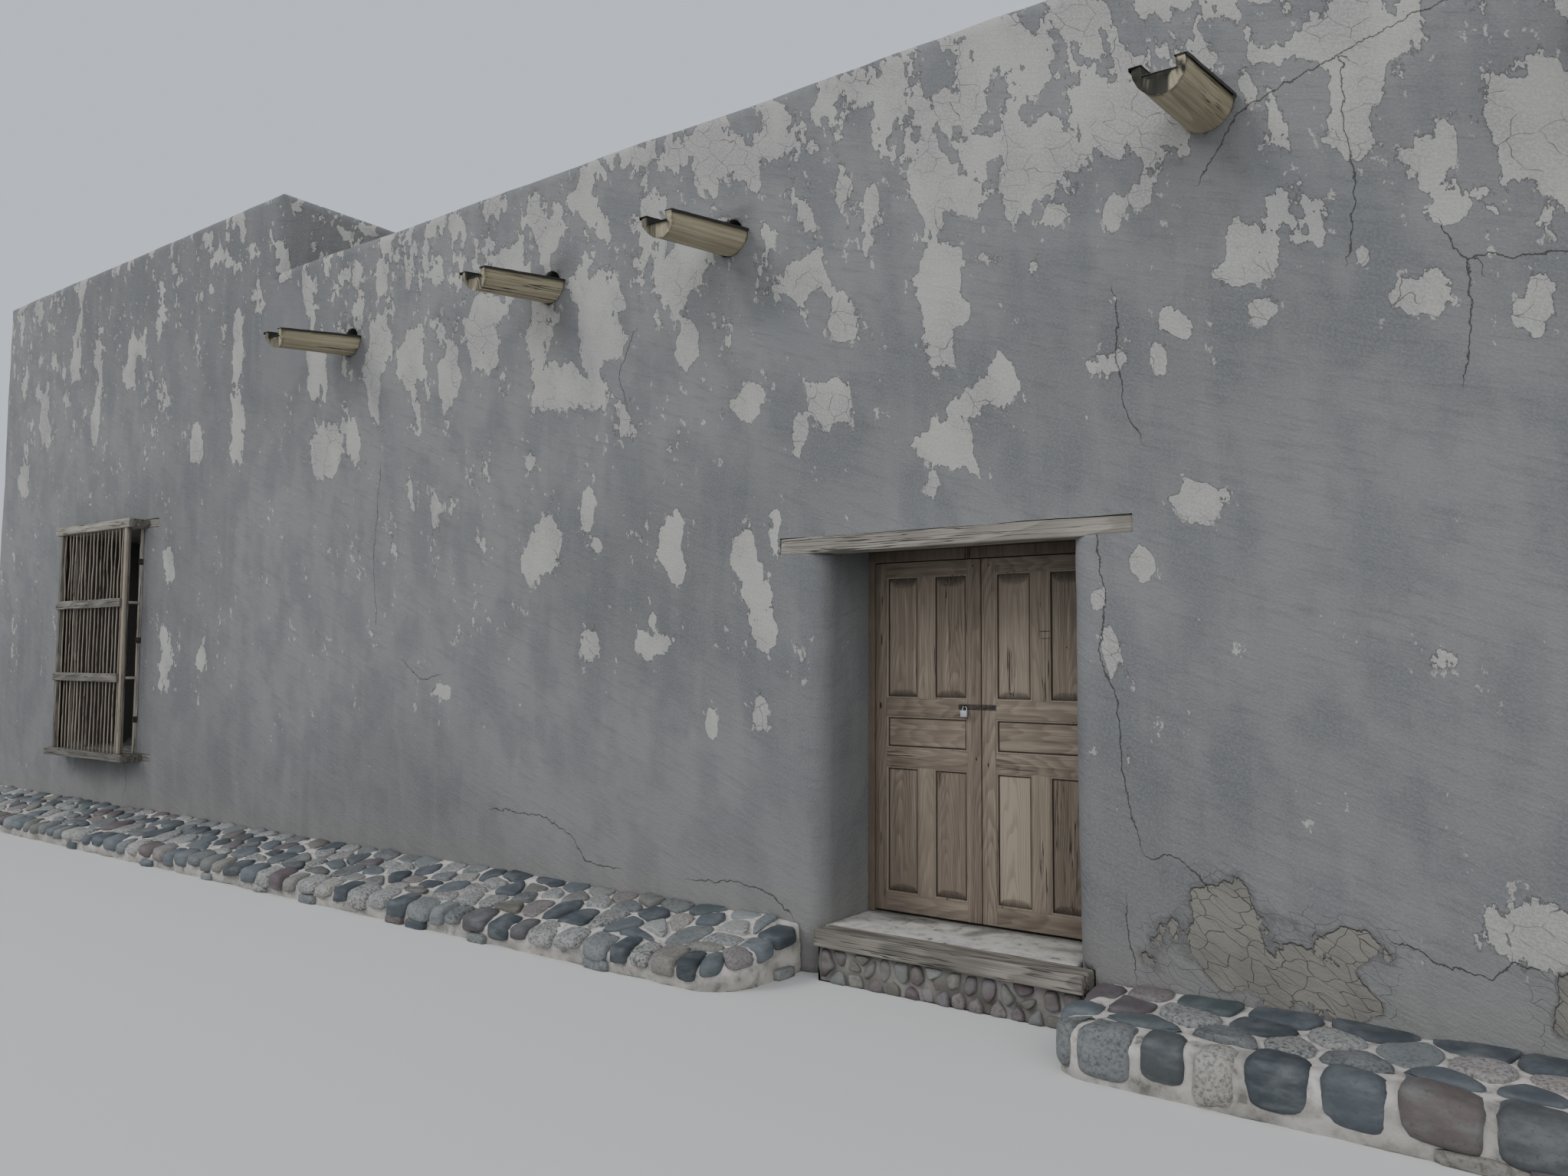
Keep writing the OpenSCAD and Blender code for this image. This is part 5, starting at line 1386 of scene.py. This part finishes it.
def leaf_boards(side, rng):
    """One leaf's boards, mouldings and panels, drawn as the left leaf's and mirrored for the right leaf."""
    front, back = LEAF_LO.y, LEAF_HI.y
    x0, x1, foot = LEAF_LO.x, LEAF_HI.x, LEAF_LO.z
    whole = marked_mesh()
    inner0, inner1 = x0 + STILE, x1 - STILE
    heights = [0, FOOT_RAIL, LOWER, SECOND_RAIL, MIDDLE, LOCK_RAIL, UPPER]
    z = [foot + sum(heights[:i + 1]) for i in range(len(heights))] + [LEAF_HI.z]
    shades = [rng.uniform(0.36, 0.58) for _ in range(8)]
    boards = [((x0, z[0], inner0, z[7]), 2, shades[0] - 0.06),
              ((inner1, z[0], x1 - 0.0012, z[7]), 2, shades[1])]
    boards += [((inner0, z[low], inner1, z[low + 1]), 0, shades[2 + low // 2]) for low in (0, 2, 4, 6)]
    middle = (inner0 + inner1) / 2
    boards += [((middle - MUNTIN / 2, z[low], middle + MUNTIN / 2, z[low + 1]), 2, shade)
               for low, shade in ((1, 0.66), (5, 0.62))]
    for (bx0, bz0, bx1, bz1), along, shade in boards:
        deeper = 0.0008 if along == 0 else 0.0
        join(whole, timber_block((bx0, front + deeper, bz0), (bx1, back - 0.0005, bz1), along, shade, rng,
                                 edge=0.0013, step=0.09, wobble=0.0006))
    narrow = (middle - MUNTIN / 2 - inner0)
    openings = [(inner0, z[1], narrow, LOWER), (inner1 - narrow, z[1], narrow, LOWER),
                (inner0, z[3], inner1 - inner0, MIDDLE),
                (inner0, z[5], narrow, UPPER), (inner1 - narrow, z[5], narrow, UPPER)]
    for index, (ox, oz, w, h) in enumerate(openings):
        join(whole, bead_ring(ox, ox + w, oz, oz + h, front + 0.0004, back - 0.001, rng))
        sides = (ox + BEAD - 0.001, ox + w - BEAD + 0.001, oz + BEAD - 0.001, oz + h - BEAD + 0.001)
        figure = 1.0 if (side, index) == FIGURED else 0.0
        join(whole, panel_board(*sides, PANEL_LO.y + 0.0008, PANEL_HI.y, index != 2, index > 2, index != 2,
                                PANEL_TINTS[side][index], figure, rng))
    for away, height, half_w, half_h in SLIVERS[side]:
        join(whole, dark_sliver(x0 + away, foot + height, half_w, half_h, front + 0.0003, rng))
    if side == "right":
        bmesh.ops.scale(whole, vec=(-1, 1, 1), verts=whole.verts)
        bmesh.ops.reverse_faces(whole, faces=whole.faces)
    piece = new_piece(f"{side}_leaf_boards", whole, DOOR_WOOD, f"{side}_leaf", 32)
    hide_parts(f"{side}_leaf_frame", f"{side}_leaf_panels")


def threshold():
    """Limewashed slab, worn hollow at its foot, and the small stones beneath it."""
    slab = merged_copy("threshold_slab")
    slab.verts.layers.float.new("stain_and_shade")
    lo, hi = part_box("threshold_slab")
    for axis in (0, 1):
        cut_faces(slab, slab.faces[:], axis, grid_places(lo[axis], hi[axis], 0.035))
    cut_faces(slab, [f for f in slab.faces if abs(f.normal.z) < 0.5], 2, grid_places(lo.z, hi.z, 0.03))
    mark = slab.verts.layers.float["stain_and_shade"]
    for vertex in slab.verts:
        if vertex.co.z < hi.z - 0.02:
            vertex[mark] = min(1.0, 0.85 + 0.4 * noise.noise(vertex.co * 7))
            push = 0.034 + 0.022 * noise.noise(vertex.co * 8)
            vertex.co.y += push if vertex.co.y < lo.y + 0.01 else 0.0
        if vertex.co.z > hi.z - 1e-4 and vertex.co.y < LEAF_HI.y + 0.05:
            bump = noise.noise(vertex.co * 3.1) * 0.006 + noise.noise(vertex.co * 14) * 0.002
            near_edge = 1 - eased(vertex.co.y - lo.y, 0.10, 0.24)
            outer = 1 - eased(vertex.co.y, FRONT, FRONT + 0.25)
            vertex.co.z += min(0.0, bump - 0.004) - 0.006 * near_edge * outer
            vertex[mark] = 0.7 * eased(noise.noise(vertex.co * 4.3), 0.10, 0.4)
            vertex[mark] = max(vertex[mark], 0.75 * eased(vertex.co.y, LEAF_LO.y - 0.10, LEAF_LO.y))
    pebbles = marked_mesh()
    line = [(-0.70, lo.y), (0.84, lo.y)]
    lay_face_stones(pebbles, line, 0.188, 0.105, 1.0, random.Random(12), lambda x, y: True)
    tint, dust = pebbles.verts.layers.float["tint"], pebbles.verts.layers.float["dust"]
    for vertex in pebbles.verts:
        vertex[tint] = 0.78 + 0.16 * vertex[tint]
        vertex[dust] *= 0.3
    new_piece("threshold_base_stones", pebbles, STONE, "house", 70)
    piece = new_piece("lime_threshold", slab, SLAB, "house", 50)
    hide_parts("threshold_slab")


def doorway():
    """Leaves, frame, planks overhead, lintel, threshold beam and slab."""
    leaf_boards("left", random.Random(31))
    leaf_boards("right", random.Random(57))
    dress_timber(["door_frame"], "door_frame_posts", DOOR_WOOD, 2, random.Random(5),
                 wobble=0.0008, edge=0.002, tint=0.22)
    dress_timber(["door_soffit"], "planks_over_door", DARK_WOOD, 0, random.Random(8),
                 wobble=0.0025, edge=0.004, across=0.08)
    dress_timber(["door_lintel"], "door_lintel_beam", GREY_WOOD, 0, random.Random(14),
                 step=0.03, across=0.02, wobble=0.006, edge=0.009, tint=0.62)
    dress_timber(["threshold_beam"], "threshold_timber", GREY_WOOD, 0, random.Random(21),
                 step=0.03, across=0.022, wobble=0.009, edge=0.014, tint=0.30)
    threshold()

# Windows

CAGE_OUT, CAGE_POST, WALL_POST, SIDE_RAIL = 0.175, 0.048, 0.030, 0.026
TOP_H, TOP_PAST, FOOT_H, FOOT_PAST = 0.090, 0.095, 0.075, 0.125
RAIL_H, RAIL_T = 0.085, 0.022
STICKS, SIDE_STICKS = 17, 6
STICK_R = (0.0068, 0.0088)


def stick(x, y, z0, z1, radius, bend, rng):
    """Crooked peeled stick with a few flat sides, standing between two heights."""
    bm = marked_mesh()
    sides = rng.choice((6, 7, 8))
    taper = rng.uniform(0.8, 1.0)
    bmesh.ops.create_cone(bm, cap_ends=True, segments=sides, radius1=1, radius2=taper, depth=1)
    bmesh.ops.scale(bm, vec=(radius, radius, z1 - z0), verts=bm.verts)
    bmesh.ops.translate(bm, vec=(0, 0, (z0 + z1) / 2), verts=bm.verts)
    cut_faces(bm, bm.faces[:], 2, grid_places(z0, z1, 0.055))
    phase = Vector((rng.uniform(0, 90), 0, 0))
    for vertex in bm.verts:
        z = vertex.co.z
        sway = bend(z) * noise.noise(Vector((phase.x, 0, z * 1.9)))
        sway += 0.004 * noise.noise(Vector((phase.x + 5, 0, z * 7)))
        swell = 1 + 0.16 * noise.noise(Vector((phase.x + 9, 0, z * 6)))
        vertex.co.x = x + vertex.co.x * swell + sway
        vertex.co.y = y + vertex.co.y * swell + 0.25 * sway
    set_marks(bm, bm.verts, grain_place(2, (x, y, 0), rng), rng.uniform(0.58, 0.98))
    # Painted shade on the back half of each stick
    stain_and_shade = bm.verts.layers.float["stain_and_shade"]
    for vertex in bm.verts:
        vertex[stain_and_shade] = 0.8 * eased(vertex.co.y - y, 0.3 * radius, 0.9 * radius)
    return bm


def bolt_head(x, y, z, radius, axis):
    """Domed bolt head facing along -Y or +X."""
    bm = marked_mesh()
    bmesh.ops.create_icosphere(bm, subdivisions=2, radius=1)
    scale = [radius] * 3
    scale[axis] = radius * 0.5
    bmesh.ops.scale(bm, vec=scale, verts=bm.verts)
    bmesh.ops.translate(bm, vec=(x, y, z), verts=bm.verts)
    set_marks(bm, bm.verts)
    return bm


def window_cage(node, name, rng):
    """Timber cage of one window: boards, posts, rails and a row of crooked sticks."""
    lo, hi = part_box(node)
    middle = (lo.x + hi.x) / 2
    half = (hi.x - lo.x) / 2 - FOOT_PAST
    top_z, foot_z = hi.z - TOP_H, lo.z + FOOT_H
    face = FRONT - CAGE_OUT
    whole = marked_mesh()

    def block(x0, y0, z0, x1, y1, z1, along, tint, **options):
        """Adds a timber, placed from the cage's middle."""
        join(whole, timber_block((middle + x0, y0, z0), (middle + x1, y1, z1), along, tint, rng, **options))

    at_wall = FRONT - 0.001
    rough = {"edge": 0.005, "step": 0.04, "across": 0.03, "wobble": 0.006}
    block(-half - TOP_PAST, face - 0.014, top_z,
          half + TOP_PAST * 0.72, at_wall, hi.z - 0.002, 0, 0.74, **rough)
    # The header's set back right end is given a dark tint: painted shade on that end
    block(half + TOP_PAST * 0.73, face + 0.018, top_z + 0.006,
          half + TOP_PAST, at_wall, hi.z - 0.008, 0, 0.10, **rough)
    block(-half - FOOT_PAST, face - 0.028, lo.z, half + FOOT_PAST, at_wall, foot_z, 0, 0.10, **rough)
    plain = {"edge": 0.002, "step": 0.12, "wobble": 0.002}
    block(-half, face, foot_z, -half + CAGE_POST, face + CAGE_POST, top_z, 2, 0.22, **plain)
    # The right front post is built as a pale front half and a dark back half: painted light on its front half
    # and painted shade on its back half
    front_post = timber_block((middle + half - CAGE_POST, face, foot_z),
                              (middle + half, face + CAGE_POST * 0.55, top_z), 2, 0.78, rng, **plain)
    block(half - CAGE_POST, face + CAGE_POST * 0.58, foot_z,
          half - 0.004, face + CAGE_POST, top_z, 2, 0.12, **plain)
    for side in (-1, 1):
        near, far = sorted((side * half, side * (half - WALL_POST)))
        block(near, FRONT - WALL_POST, foot_z, far, at_wall, top_z, 2, 0.72, **plain)
    for third in (1, 2):
        z = foot_z + (top_z - foot_z) * third / 3
        block(-half, face - RAIL_T, z - RAIL_H / 2,
              half - CAGE_POST - 0.004, face - 0.001, z + RAIL_H / 2, 0, 0.24, **plain)
        for side in (-1, 1):
            near, far = sorted((side * (half - 0.002), side * (half - SIDE_RAIL)))
            block(near, face + CAGE_POST, z - SIDE_RAIL / 2,
                  far, FRONT - WALL_POST, z + SIDE_RAIL / 2, 1, 0.78, **plain)
    timbers = new_piece(name + "_timbers", whole, GREY_WOOD, "house", 35)
    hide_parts(node)

    sticks = marked_mesh()
    join(sticks, front_post)
    inner0, inner1 = middle - half + CAGE_POST, middle + half - CAGE_POST
    pitch = (inner1 - inner0) / (STICKS + 0.4)
    upper = foot_z + (top_z - foot_z) * 2 / 3

    def bend(z):
        """How far a stick may sway at a height: least where it is held."""
        held = min(abs(z - upper), abs(z - top_z), abs(z - foot_z), 0.35) / 0.35
        return (0.050 if z > upper else 0.012) * held

    for index in range(STICKS):
        x = inner0 + (index + 0.7) * pitch + rng.uniform(-0.07, 0.07) * pitch
        join(sticks, stick(x, face + 0.020, foot_z - 0.004, top_z + 0.004, rng.uniform(*STICK_R), bend, rng))
    for index in range(SIDE_STICKS):
        x = middle - half + 0.015
        y = face + CAGE_POST + (index + 0.5) * (CAGE_OUT - CAGE_POST - WALL_POST) / SIDE_STICKS
        shaded = stick(x, y, foot_z - 0.004, top_z + 0.004, STICK_R[1], lambda z: 0.002, rng)
        # Painted shade over the whole of each far side stick
        stain_and_shade = shaded.verts.layers.float["stain_and_shade"]
        for vertex in shaded.verts:
            vertex[stain_and_shade] = 1.0
        join(sticks, shaded)
    new_piece(name + "_sticks", sticks, STICK_WOOD, "house", 45)


def window_middle(x):
    """Middle of the cage nearest a place along the front."""
    lo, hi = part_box("left_window_cage" if x < 0 else "right_window_cage")
    return (lo.x + hi.x) / 2


def straps():
    """Iron straps of the cages, with domed bolts."""
    bm = merged_copy("cage_straps")
    for part in islands(bm):
        for vertex in part:
            vertex.co += noise.noise_vector(vertex.co * 9) * 0.0004
    whole = marked_mesh()
    for part in islands(bm):
        middle = middle_of(part)
        outward = 1 if middle.x > window_middle(middle.x) else -1
        for dz in (-0.016, 0.016):
            join(whole, bolt_head(middle.x + outward * 0.003, middle.y, middle.z + dz, 0.007, 0))
    join(whole, bm)
    piece = new_piece("cage_straps_bolted", whole, IRON, "house", 35)
    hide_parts("cage_straps")


def windows():
    """Cages, straps, lintels and sills of both windows."""
    window_cage("left_window_cage", "left_cage", random.Random(17))
    window_cage("right_window_cage", "right_cage", random.Random(23))
    straps()
    dress_timber(["window_lintels"], "window_lintel_beams", GREY_WOOD, 0, random.Random(3),
                 across=0.05, wobble=0.004, edge=0.006, tint=0.42)
    dress_timber(["window_sills"], "window_sill_beams", GREY_WOOD, 0, random.Random(4),
                 across=0.05, wobble=0.004, edge=0.006, tint=0.30)


# Roof spouts

SPOUT_DROP, SPOUT_OUT, SPOUT_AXIS = 0.095, 0.70, 4.453
SPOUT_TURN = math.atan(SPOUT_DROP / SPOUT_OUT)
SPOUT_R_WALL, SPOUT_R_TIP, SPOUT_FLAT, CHANNEL_HALF = 0.140, 0.121, 0.012, 0.075
SPOUT_UP = Vector((0, -math.sin(SPOUT_TURN), math.cos(SPOUT_TURN)))
CHANNEL_SILT, MOUTH_SLANT = 0.036, 0.42


def along_spout(p):
    """Distance out from the wall along a spout's axis, and height above that axis."""
    out, up = FRONT - p.y, p.z - SPOUT_AXIS
    return (out * math.cos(SPOUT_TURN) - up * math.sin(SPOUT_TURN),
            out * math.sin(SPOUT_TURN) + up * math.cos(SPOUT_TURN))


def spout_place(middle_x, aside, out, level):
    """Place of a point given from a spout's axis."""
    return Vector((middle_x + aside, FRONT - out * math.cos(SPOUT_TURN) - level * math.sin(SPOUT_TURN),
                   SPOUT_AXIS - out * math.sin(SPOUT_TURN) + level * math.cos(SPOUT_TURN)))


def spout_log(index, rng):
    """Hollowed spout log with drying grooves and a rotten dark mouth, worst on the one right of the door."""
    node = f"spout_{index}"
    bm = add_marks(merged_copy(node))
    lo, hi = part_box(node)
    middle_x = (lo.x + hi.x) / 2
    ease_edges(bm, 0.004)
    near = [f for f in bm.faces if f.calc_center_median().y < FRONT + 0.2]
    cut_faces(bm, near, 1, grid_places(lo.y, FRONT + 0.1, 0.022))
    mouth = [f for f in bm.faces if f.normal.y < -0.9 and f.calc_center_median().y < lo.y + 0.08]
    cut_faces(bm, cut_faces(bm, mouth, 0, grid_places(lo.x, hi.x, 0.012)), 2, grid_places(lo.z, hi.z, 0.012))
    tip = max(along_spout(v.co)[0] for v in bm.verts)
    tip_y = min(v.co.y for v in bm.verts)
    rot = 0.98 if index == 4 else 0.6
    start = Vector((rng.uniform(0, 50), 0, 0))
    stain_and_shade, tint = bm.verts.layers.float["stain_and_shade"], bm.verts.layers.float["tint"]
    grain = bm.verts.layers.float_vector["grain"]
    for vertex in bm.verts:
        p = vertex.co
        out, level = along_spout(p)
        aside = p.x - middle_x
        turn = math.atan2(aside, -level)
        groove = noise.noise(Vector((turn * 4.5, p.y * 1.2, index * 3.0)))
        fine = noise.noise(Vector((turn * 15, p.y * 2.2, index * 5.0)))
        radius = math.hypot(aside, level)
        ragged = noise.noise(Vector((aside * 24, level * 24, index * 2.0)) + start)
        spread = noise.noise(Vector((turn * 3.0, out * 9, index)) + start)
        if radius > 0.1 and out > -0.02:
            shrink = (0.0024 + 0.0028 * groove + 0.0014 * fine) / radius
            p -= Vector((aside, 0, level)) * shrink
        if abs(aside) < CHANNEL_HALF + 0.004 and level < -0.045 and radius < 0.105:
            p += SPOUT_UP * CHANNEL_SILT
        slant = tip_y + MOUTH_SLANT * max(0.0, -level - 0.015)
        if out > tip - 0.004 or p.y < slant:
            p.y = max(p.y, slant) + 0.005 + 0.006 * ragged + 0.012 * rot * max(0.0, ragged)
            vertex[stain_and_shade] = rot * eased(0.22 * ragged - (aside - 0.045), -0.03, 0.03)
        else:
            reach = 0.03 + 0.05 * rot * (1 - aside / 0.14)
            vertex[stain_and_shade] = rot * (1 - eased(tip - out, 0.0, max(0.012, reach * (1 + 1.4 * spread))))
        if abs(aside) < CHANNEL_HALF + 0.004 and level > -0.075 and radius < 0.105:
            vertex[stain_and_shade] = 0.9
        p.y = max(lo.y, p.y)
        vertex[grain] = (turn * 0.13, index * 1.7, p.y * 1.0 + 2.0)
        vertex[tint] = 0.5 + 0.3 * noise.noise(Vector((p.x * 3, p.y * 3, index * 7)))
    piece = new_piece(f"spout_log_{index}", bm, LOG_WOOD, "house", 40)
    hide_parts(node)


def tin_lip(middle_x, side, tip):
    """Folded edge of a spout's tin: over the log's flat top and down its side."""
    bm = marked_mesh()
    over, down, sheet = 0.004, 0.012, 0.0036
    inner = CHANNEL_HALF - 0.004
    outline = [(inner, SPOUT_FLAT), (0.0, SPOUT_FLAT), (0.0, SPOUT_FLAT - down),
               (sheet, SPOUT_FLAT - down), (sheet, SPOUT_FLAT + sheet), (inner, SPOUT_FLAT + sheet)]

    def ring(out):
        """Points of the fold's outline at a distance out from the wall."""
        radius = SPOUT_R_WALL + (SPOUT_R_TIP - SPOUT_R_WALL) * out / SPOUT_OUT + over
        asides = [a if a > 0.01 else radius + a for a, _ in outline]
        return [bm.verts.new(spout_place(middle_x, side * a, out, level))
                for a, (_, level) in zip(asides, outline)]

    first, last = ring(0.0), ring(tip + 0.004)
    bm.faces.new(first)
    bm.faces.new(last)
    for index in range(len(outline)):
        after = (index + 1) % len(outline)
        bm.faces.new((first[index], first[after], last[after], last[index]))
    bmesh.ops.recalc_face_normals(bm, faces=bm.faces)
    cut_faces(bm, bm.faces[:], 1, grid_places(FRONT - tip, FRONT, 0.03))
    for vertex in bm.verts:
        wave = noise.noise(Vector((middle_x, vertex.co.y * 13, side * 4)))
        vertex.co += Vector((0.0012 * wave, 0, 0.0020 * wave))
    set_marks(bm, bm.verts)
    return bm


def spouts():
    """Six hollowed logs and the folded tin in their channels."""
    for index in range(1, 7):
        spout_log(index, random.Random(100 + index))
    bm = merged_copy("spout_liners")
    lo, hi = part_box("spout_liners")
    cut_faces(bm, bm.faces[:], 1, grid_places(lo.y, hi.y, 0.03))
    for vertex in bm.verts:
        push = noise.noise_vector(vertex.co * 11)
        vertex.co += Vector((push.x * 0.0016, 0, push.z * 0.0022 - 0.001))
        if along_spout(vertex.co)[1] < -0.045:
            vertex.co += SPOUT_UP * CHANNEL_SILT
        vertex.co.y = max(lo.y, min(hi.y, vertex.co.y + 0.012 * noise.noise(vertex.co * 40)
                                    * (vertex.co.y < lo.y + 0.01)))
    whole = marked_mesh()
    for middle_x in SPOUT_MIDDLES:
        for side in (-1, 1):
            join(whole, tin_lip(middle_x, side, SPOUT_OUT - 0.004))
    new_piece("tin_lips", whole, TIN, "house", 30)
    piece = new_piece("tin_liners", bm, TIN, "house", 30)
    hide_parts("spout_liners")


# Roofs, floors and what hangs on the door

def coat_node(node, material):
    """Gives a CAD node that stays its material."""
    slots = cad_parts[node].material_slots
    slots[0].link = "OBJECT"
    slots[0].material = material


def earth_roof(node, step_size):
    """Uneven packed earth of one roof, with its edges a little higher."""
    bm = merged_copy(node)
    lo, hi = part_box(node)
    top = [f for f in bm.faces if f.normal.z > 0.9]
    top = cut_faces(bm, top, 0, grid_places(lo.x, hi.x, step_size))
    cut_faces(bm, top, 1, grid_places(lo.y, hi.y, step_size))
    for vertex in bm.verts:
        p = vertex.co
        if p.z > hi.z - 1e-4:
            inner = min(p.x - lo.x, hi.x - p.x, p.y - lo.y, hi.y - p.y)
            sag = 0.018 * eased(inner, 0.0, 0.4) * (1 + noise.noise(p * 0.9))
            p.z -= 0.006 + sag + 0.006 * noise.noise(p * 4)
    piece = new_piece(node + "_earth", bm, ROOF_EARTH, "house", 50)
    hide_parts(node)


def dress_iron(node, name, material, body, edge):
    """Copy of a CAD metal piece with eased edges."""
    bm = merged_copy(node)
    ease_edges(bm, edge)
    piece = new_piece(name, bm, material, body, 35)
    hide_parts(node)


def door_iron():
    """Hasp, staple and padlock with eased edges, and the hasp's rivets."""
    dress_iron("hasp_plate", "hasp_half", IRON, "right_leaf", 0.0008)
    dress_iron("hasp_strap", "hasp_half_with_staple", IRON, "left_leaf", 0.0008)
    dress_iron("padlock", "padlock_body", STEEL, "left_leaf", 0.0016)
    plate_lo, plate_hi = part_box("hasp_plate")
    for side, node, places in (("right", "hasp_plate", (0.30, 0.82)), ("left", "hasp_strap", (0.12, 0.72))):
        lo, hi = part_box(node)
        bm = marked_mesh()
        for share in places:
            x = lo.x + (hi.x - lo.x) * share
            for dz in (-0.008, 0.008):
                z = (plate_lo.z + plate_hi.z) / 2 + dz
                join(bm, bolt_head(x, plate_lo.y + 0.0006, z, 0.0032, 1))
        new_piece(f"{side}_hasp_rivets", bm, IRON, f"{side}_leaf", 35)
    for node in ("frame_hinges", "left_leaf_hinges", "right_leaf_hinges"):
        coat_node(node, IRON)


def roofs_and_floors():
    """Packed earth and peeled logs of the roofs, and the earth floors."""
    for node in ("main_roof", "left_block_roof", "right_block_roof"):
        earth_roof(node, 0.2)
    dress_timber(["roof_logs"], "peeled_roof_logs", DARK_WOOD, 1, random.Random(9),
                 step=0.5, wobble=0.006, edge=0.004)
    coat_node("floors", FLOOR_EARTH)

# The whole house

# CAD node, piece and grid of each wall
WALLS = [
    ("front_wall_right", "front_plaster_right", 0.04),
    ("front_wall_over_door", "front_plaster_over_door", 0.04),
    ("front_wall_left", "front_plaster_left", 0.04),
    ("left_block_front_wall", "left_block_front_plaster", 0.06),
    ("right_block_front_wall", "right_block_front_plaster", 0.08),
    ("left_end_wall", "left_end_plaster", 0.16),
    ("right_end_wall", "right_end_plaster", 0.16),
    ("back_wall", "back_plaster", 0.16),
    ("left_block_back_wall", "left_block_back_plaster", 0.16),
    ("right_block_back_wall", "right_block_back_plaster", 0.16),
    ("left_cross_wall", "left_cross_plaster", 0.16),
    ("right_cross_wall", "right_cross_plaster", 0.16),
]

photo_camera()
studio()
for wall, plaster_name, grid in WALLS:
    dress_wall(wall, plaster_name, grid)

plinths()
doorway()
door_iron()
windows()
spouts()
roofs_and_floors()
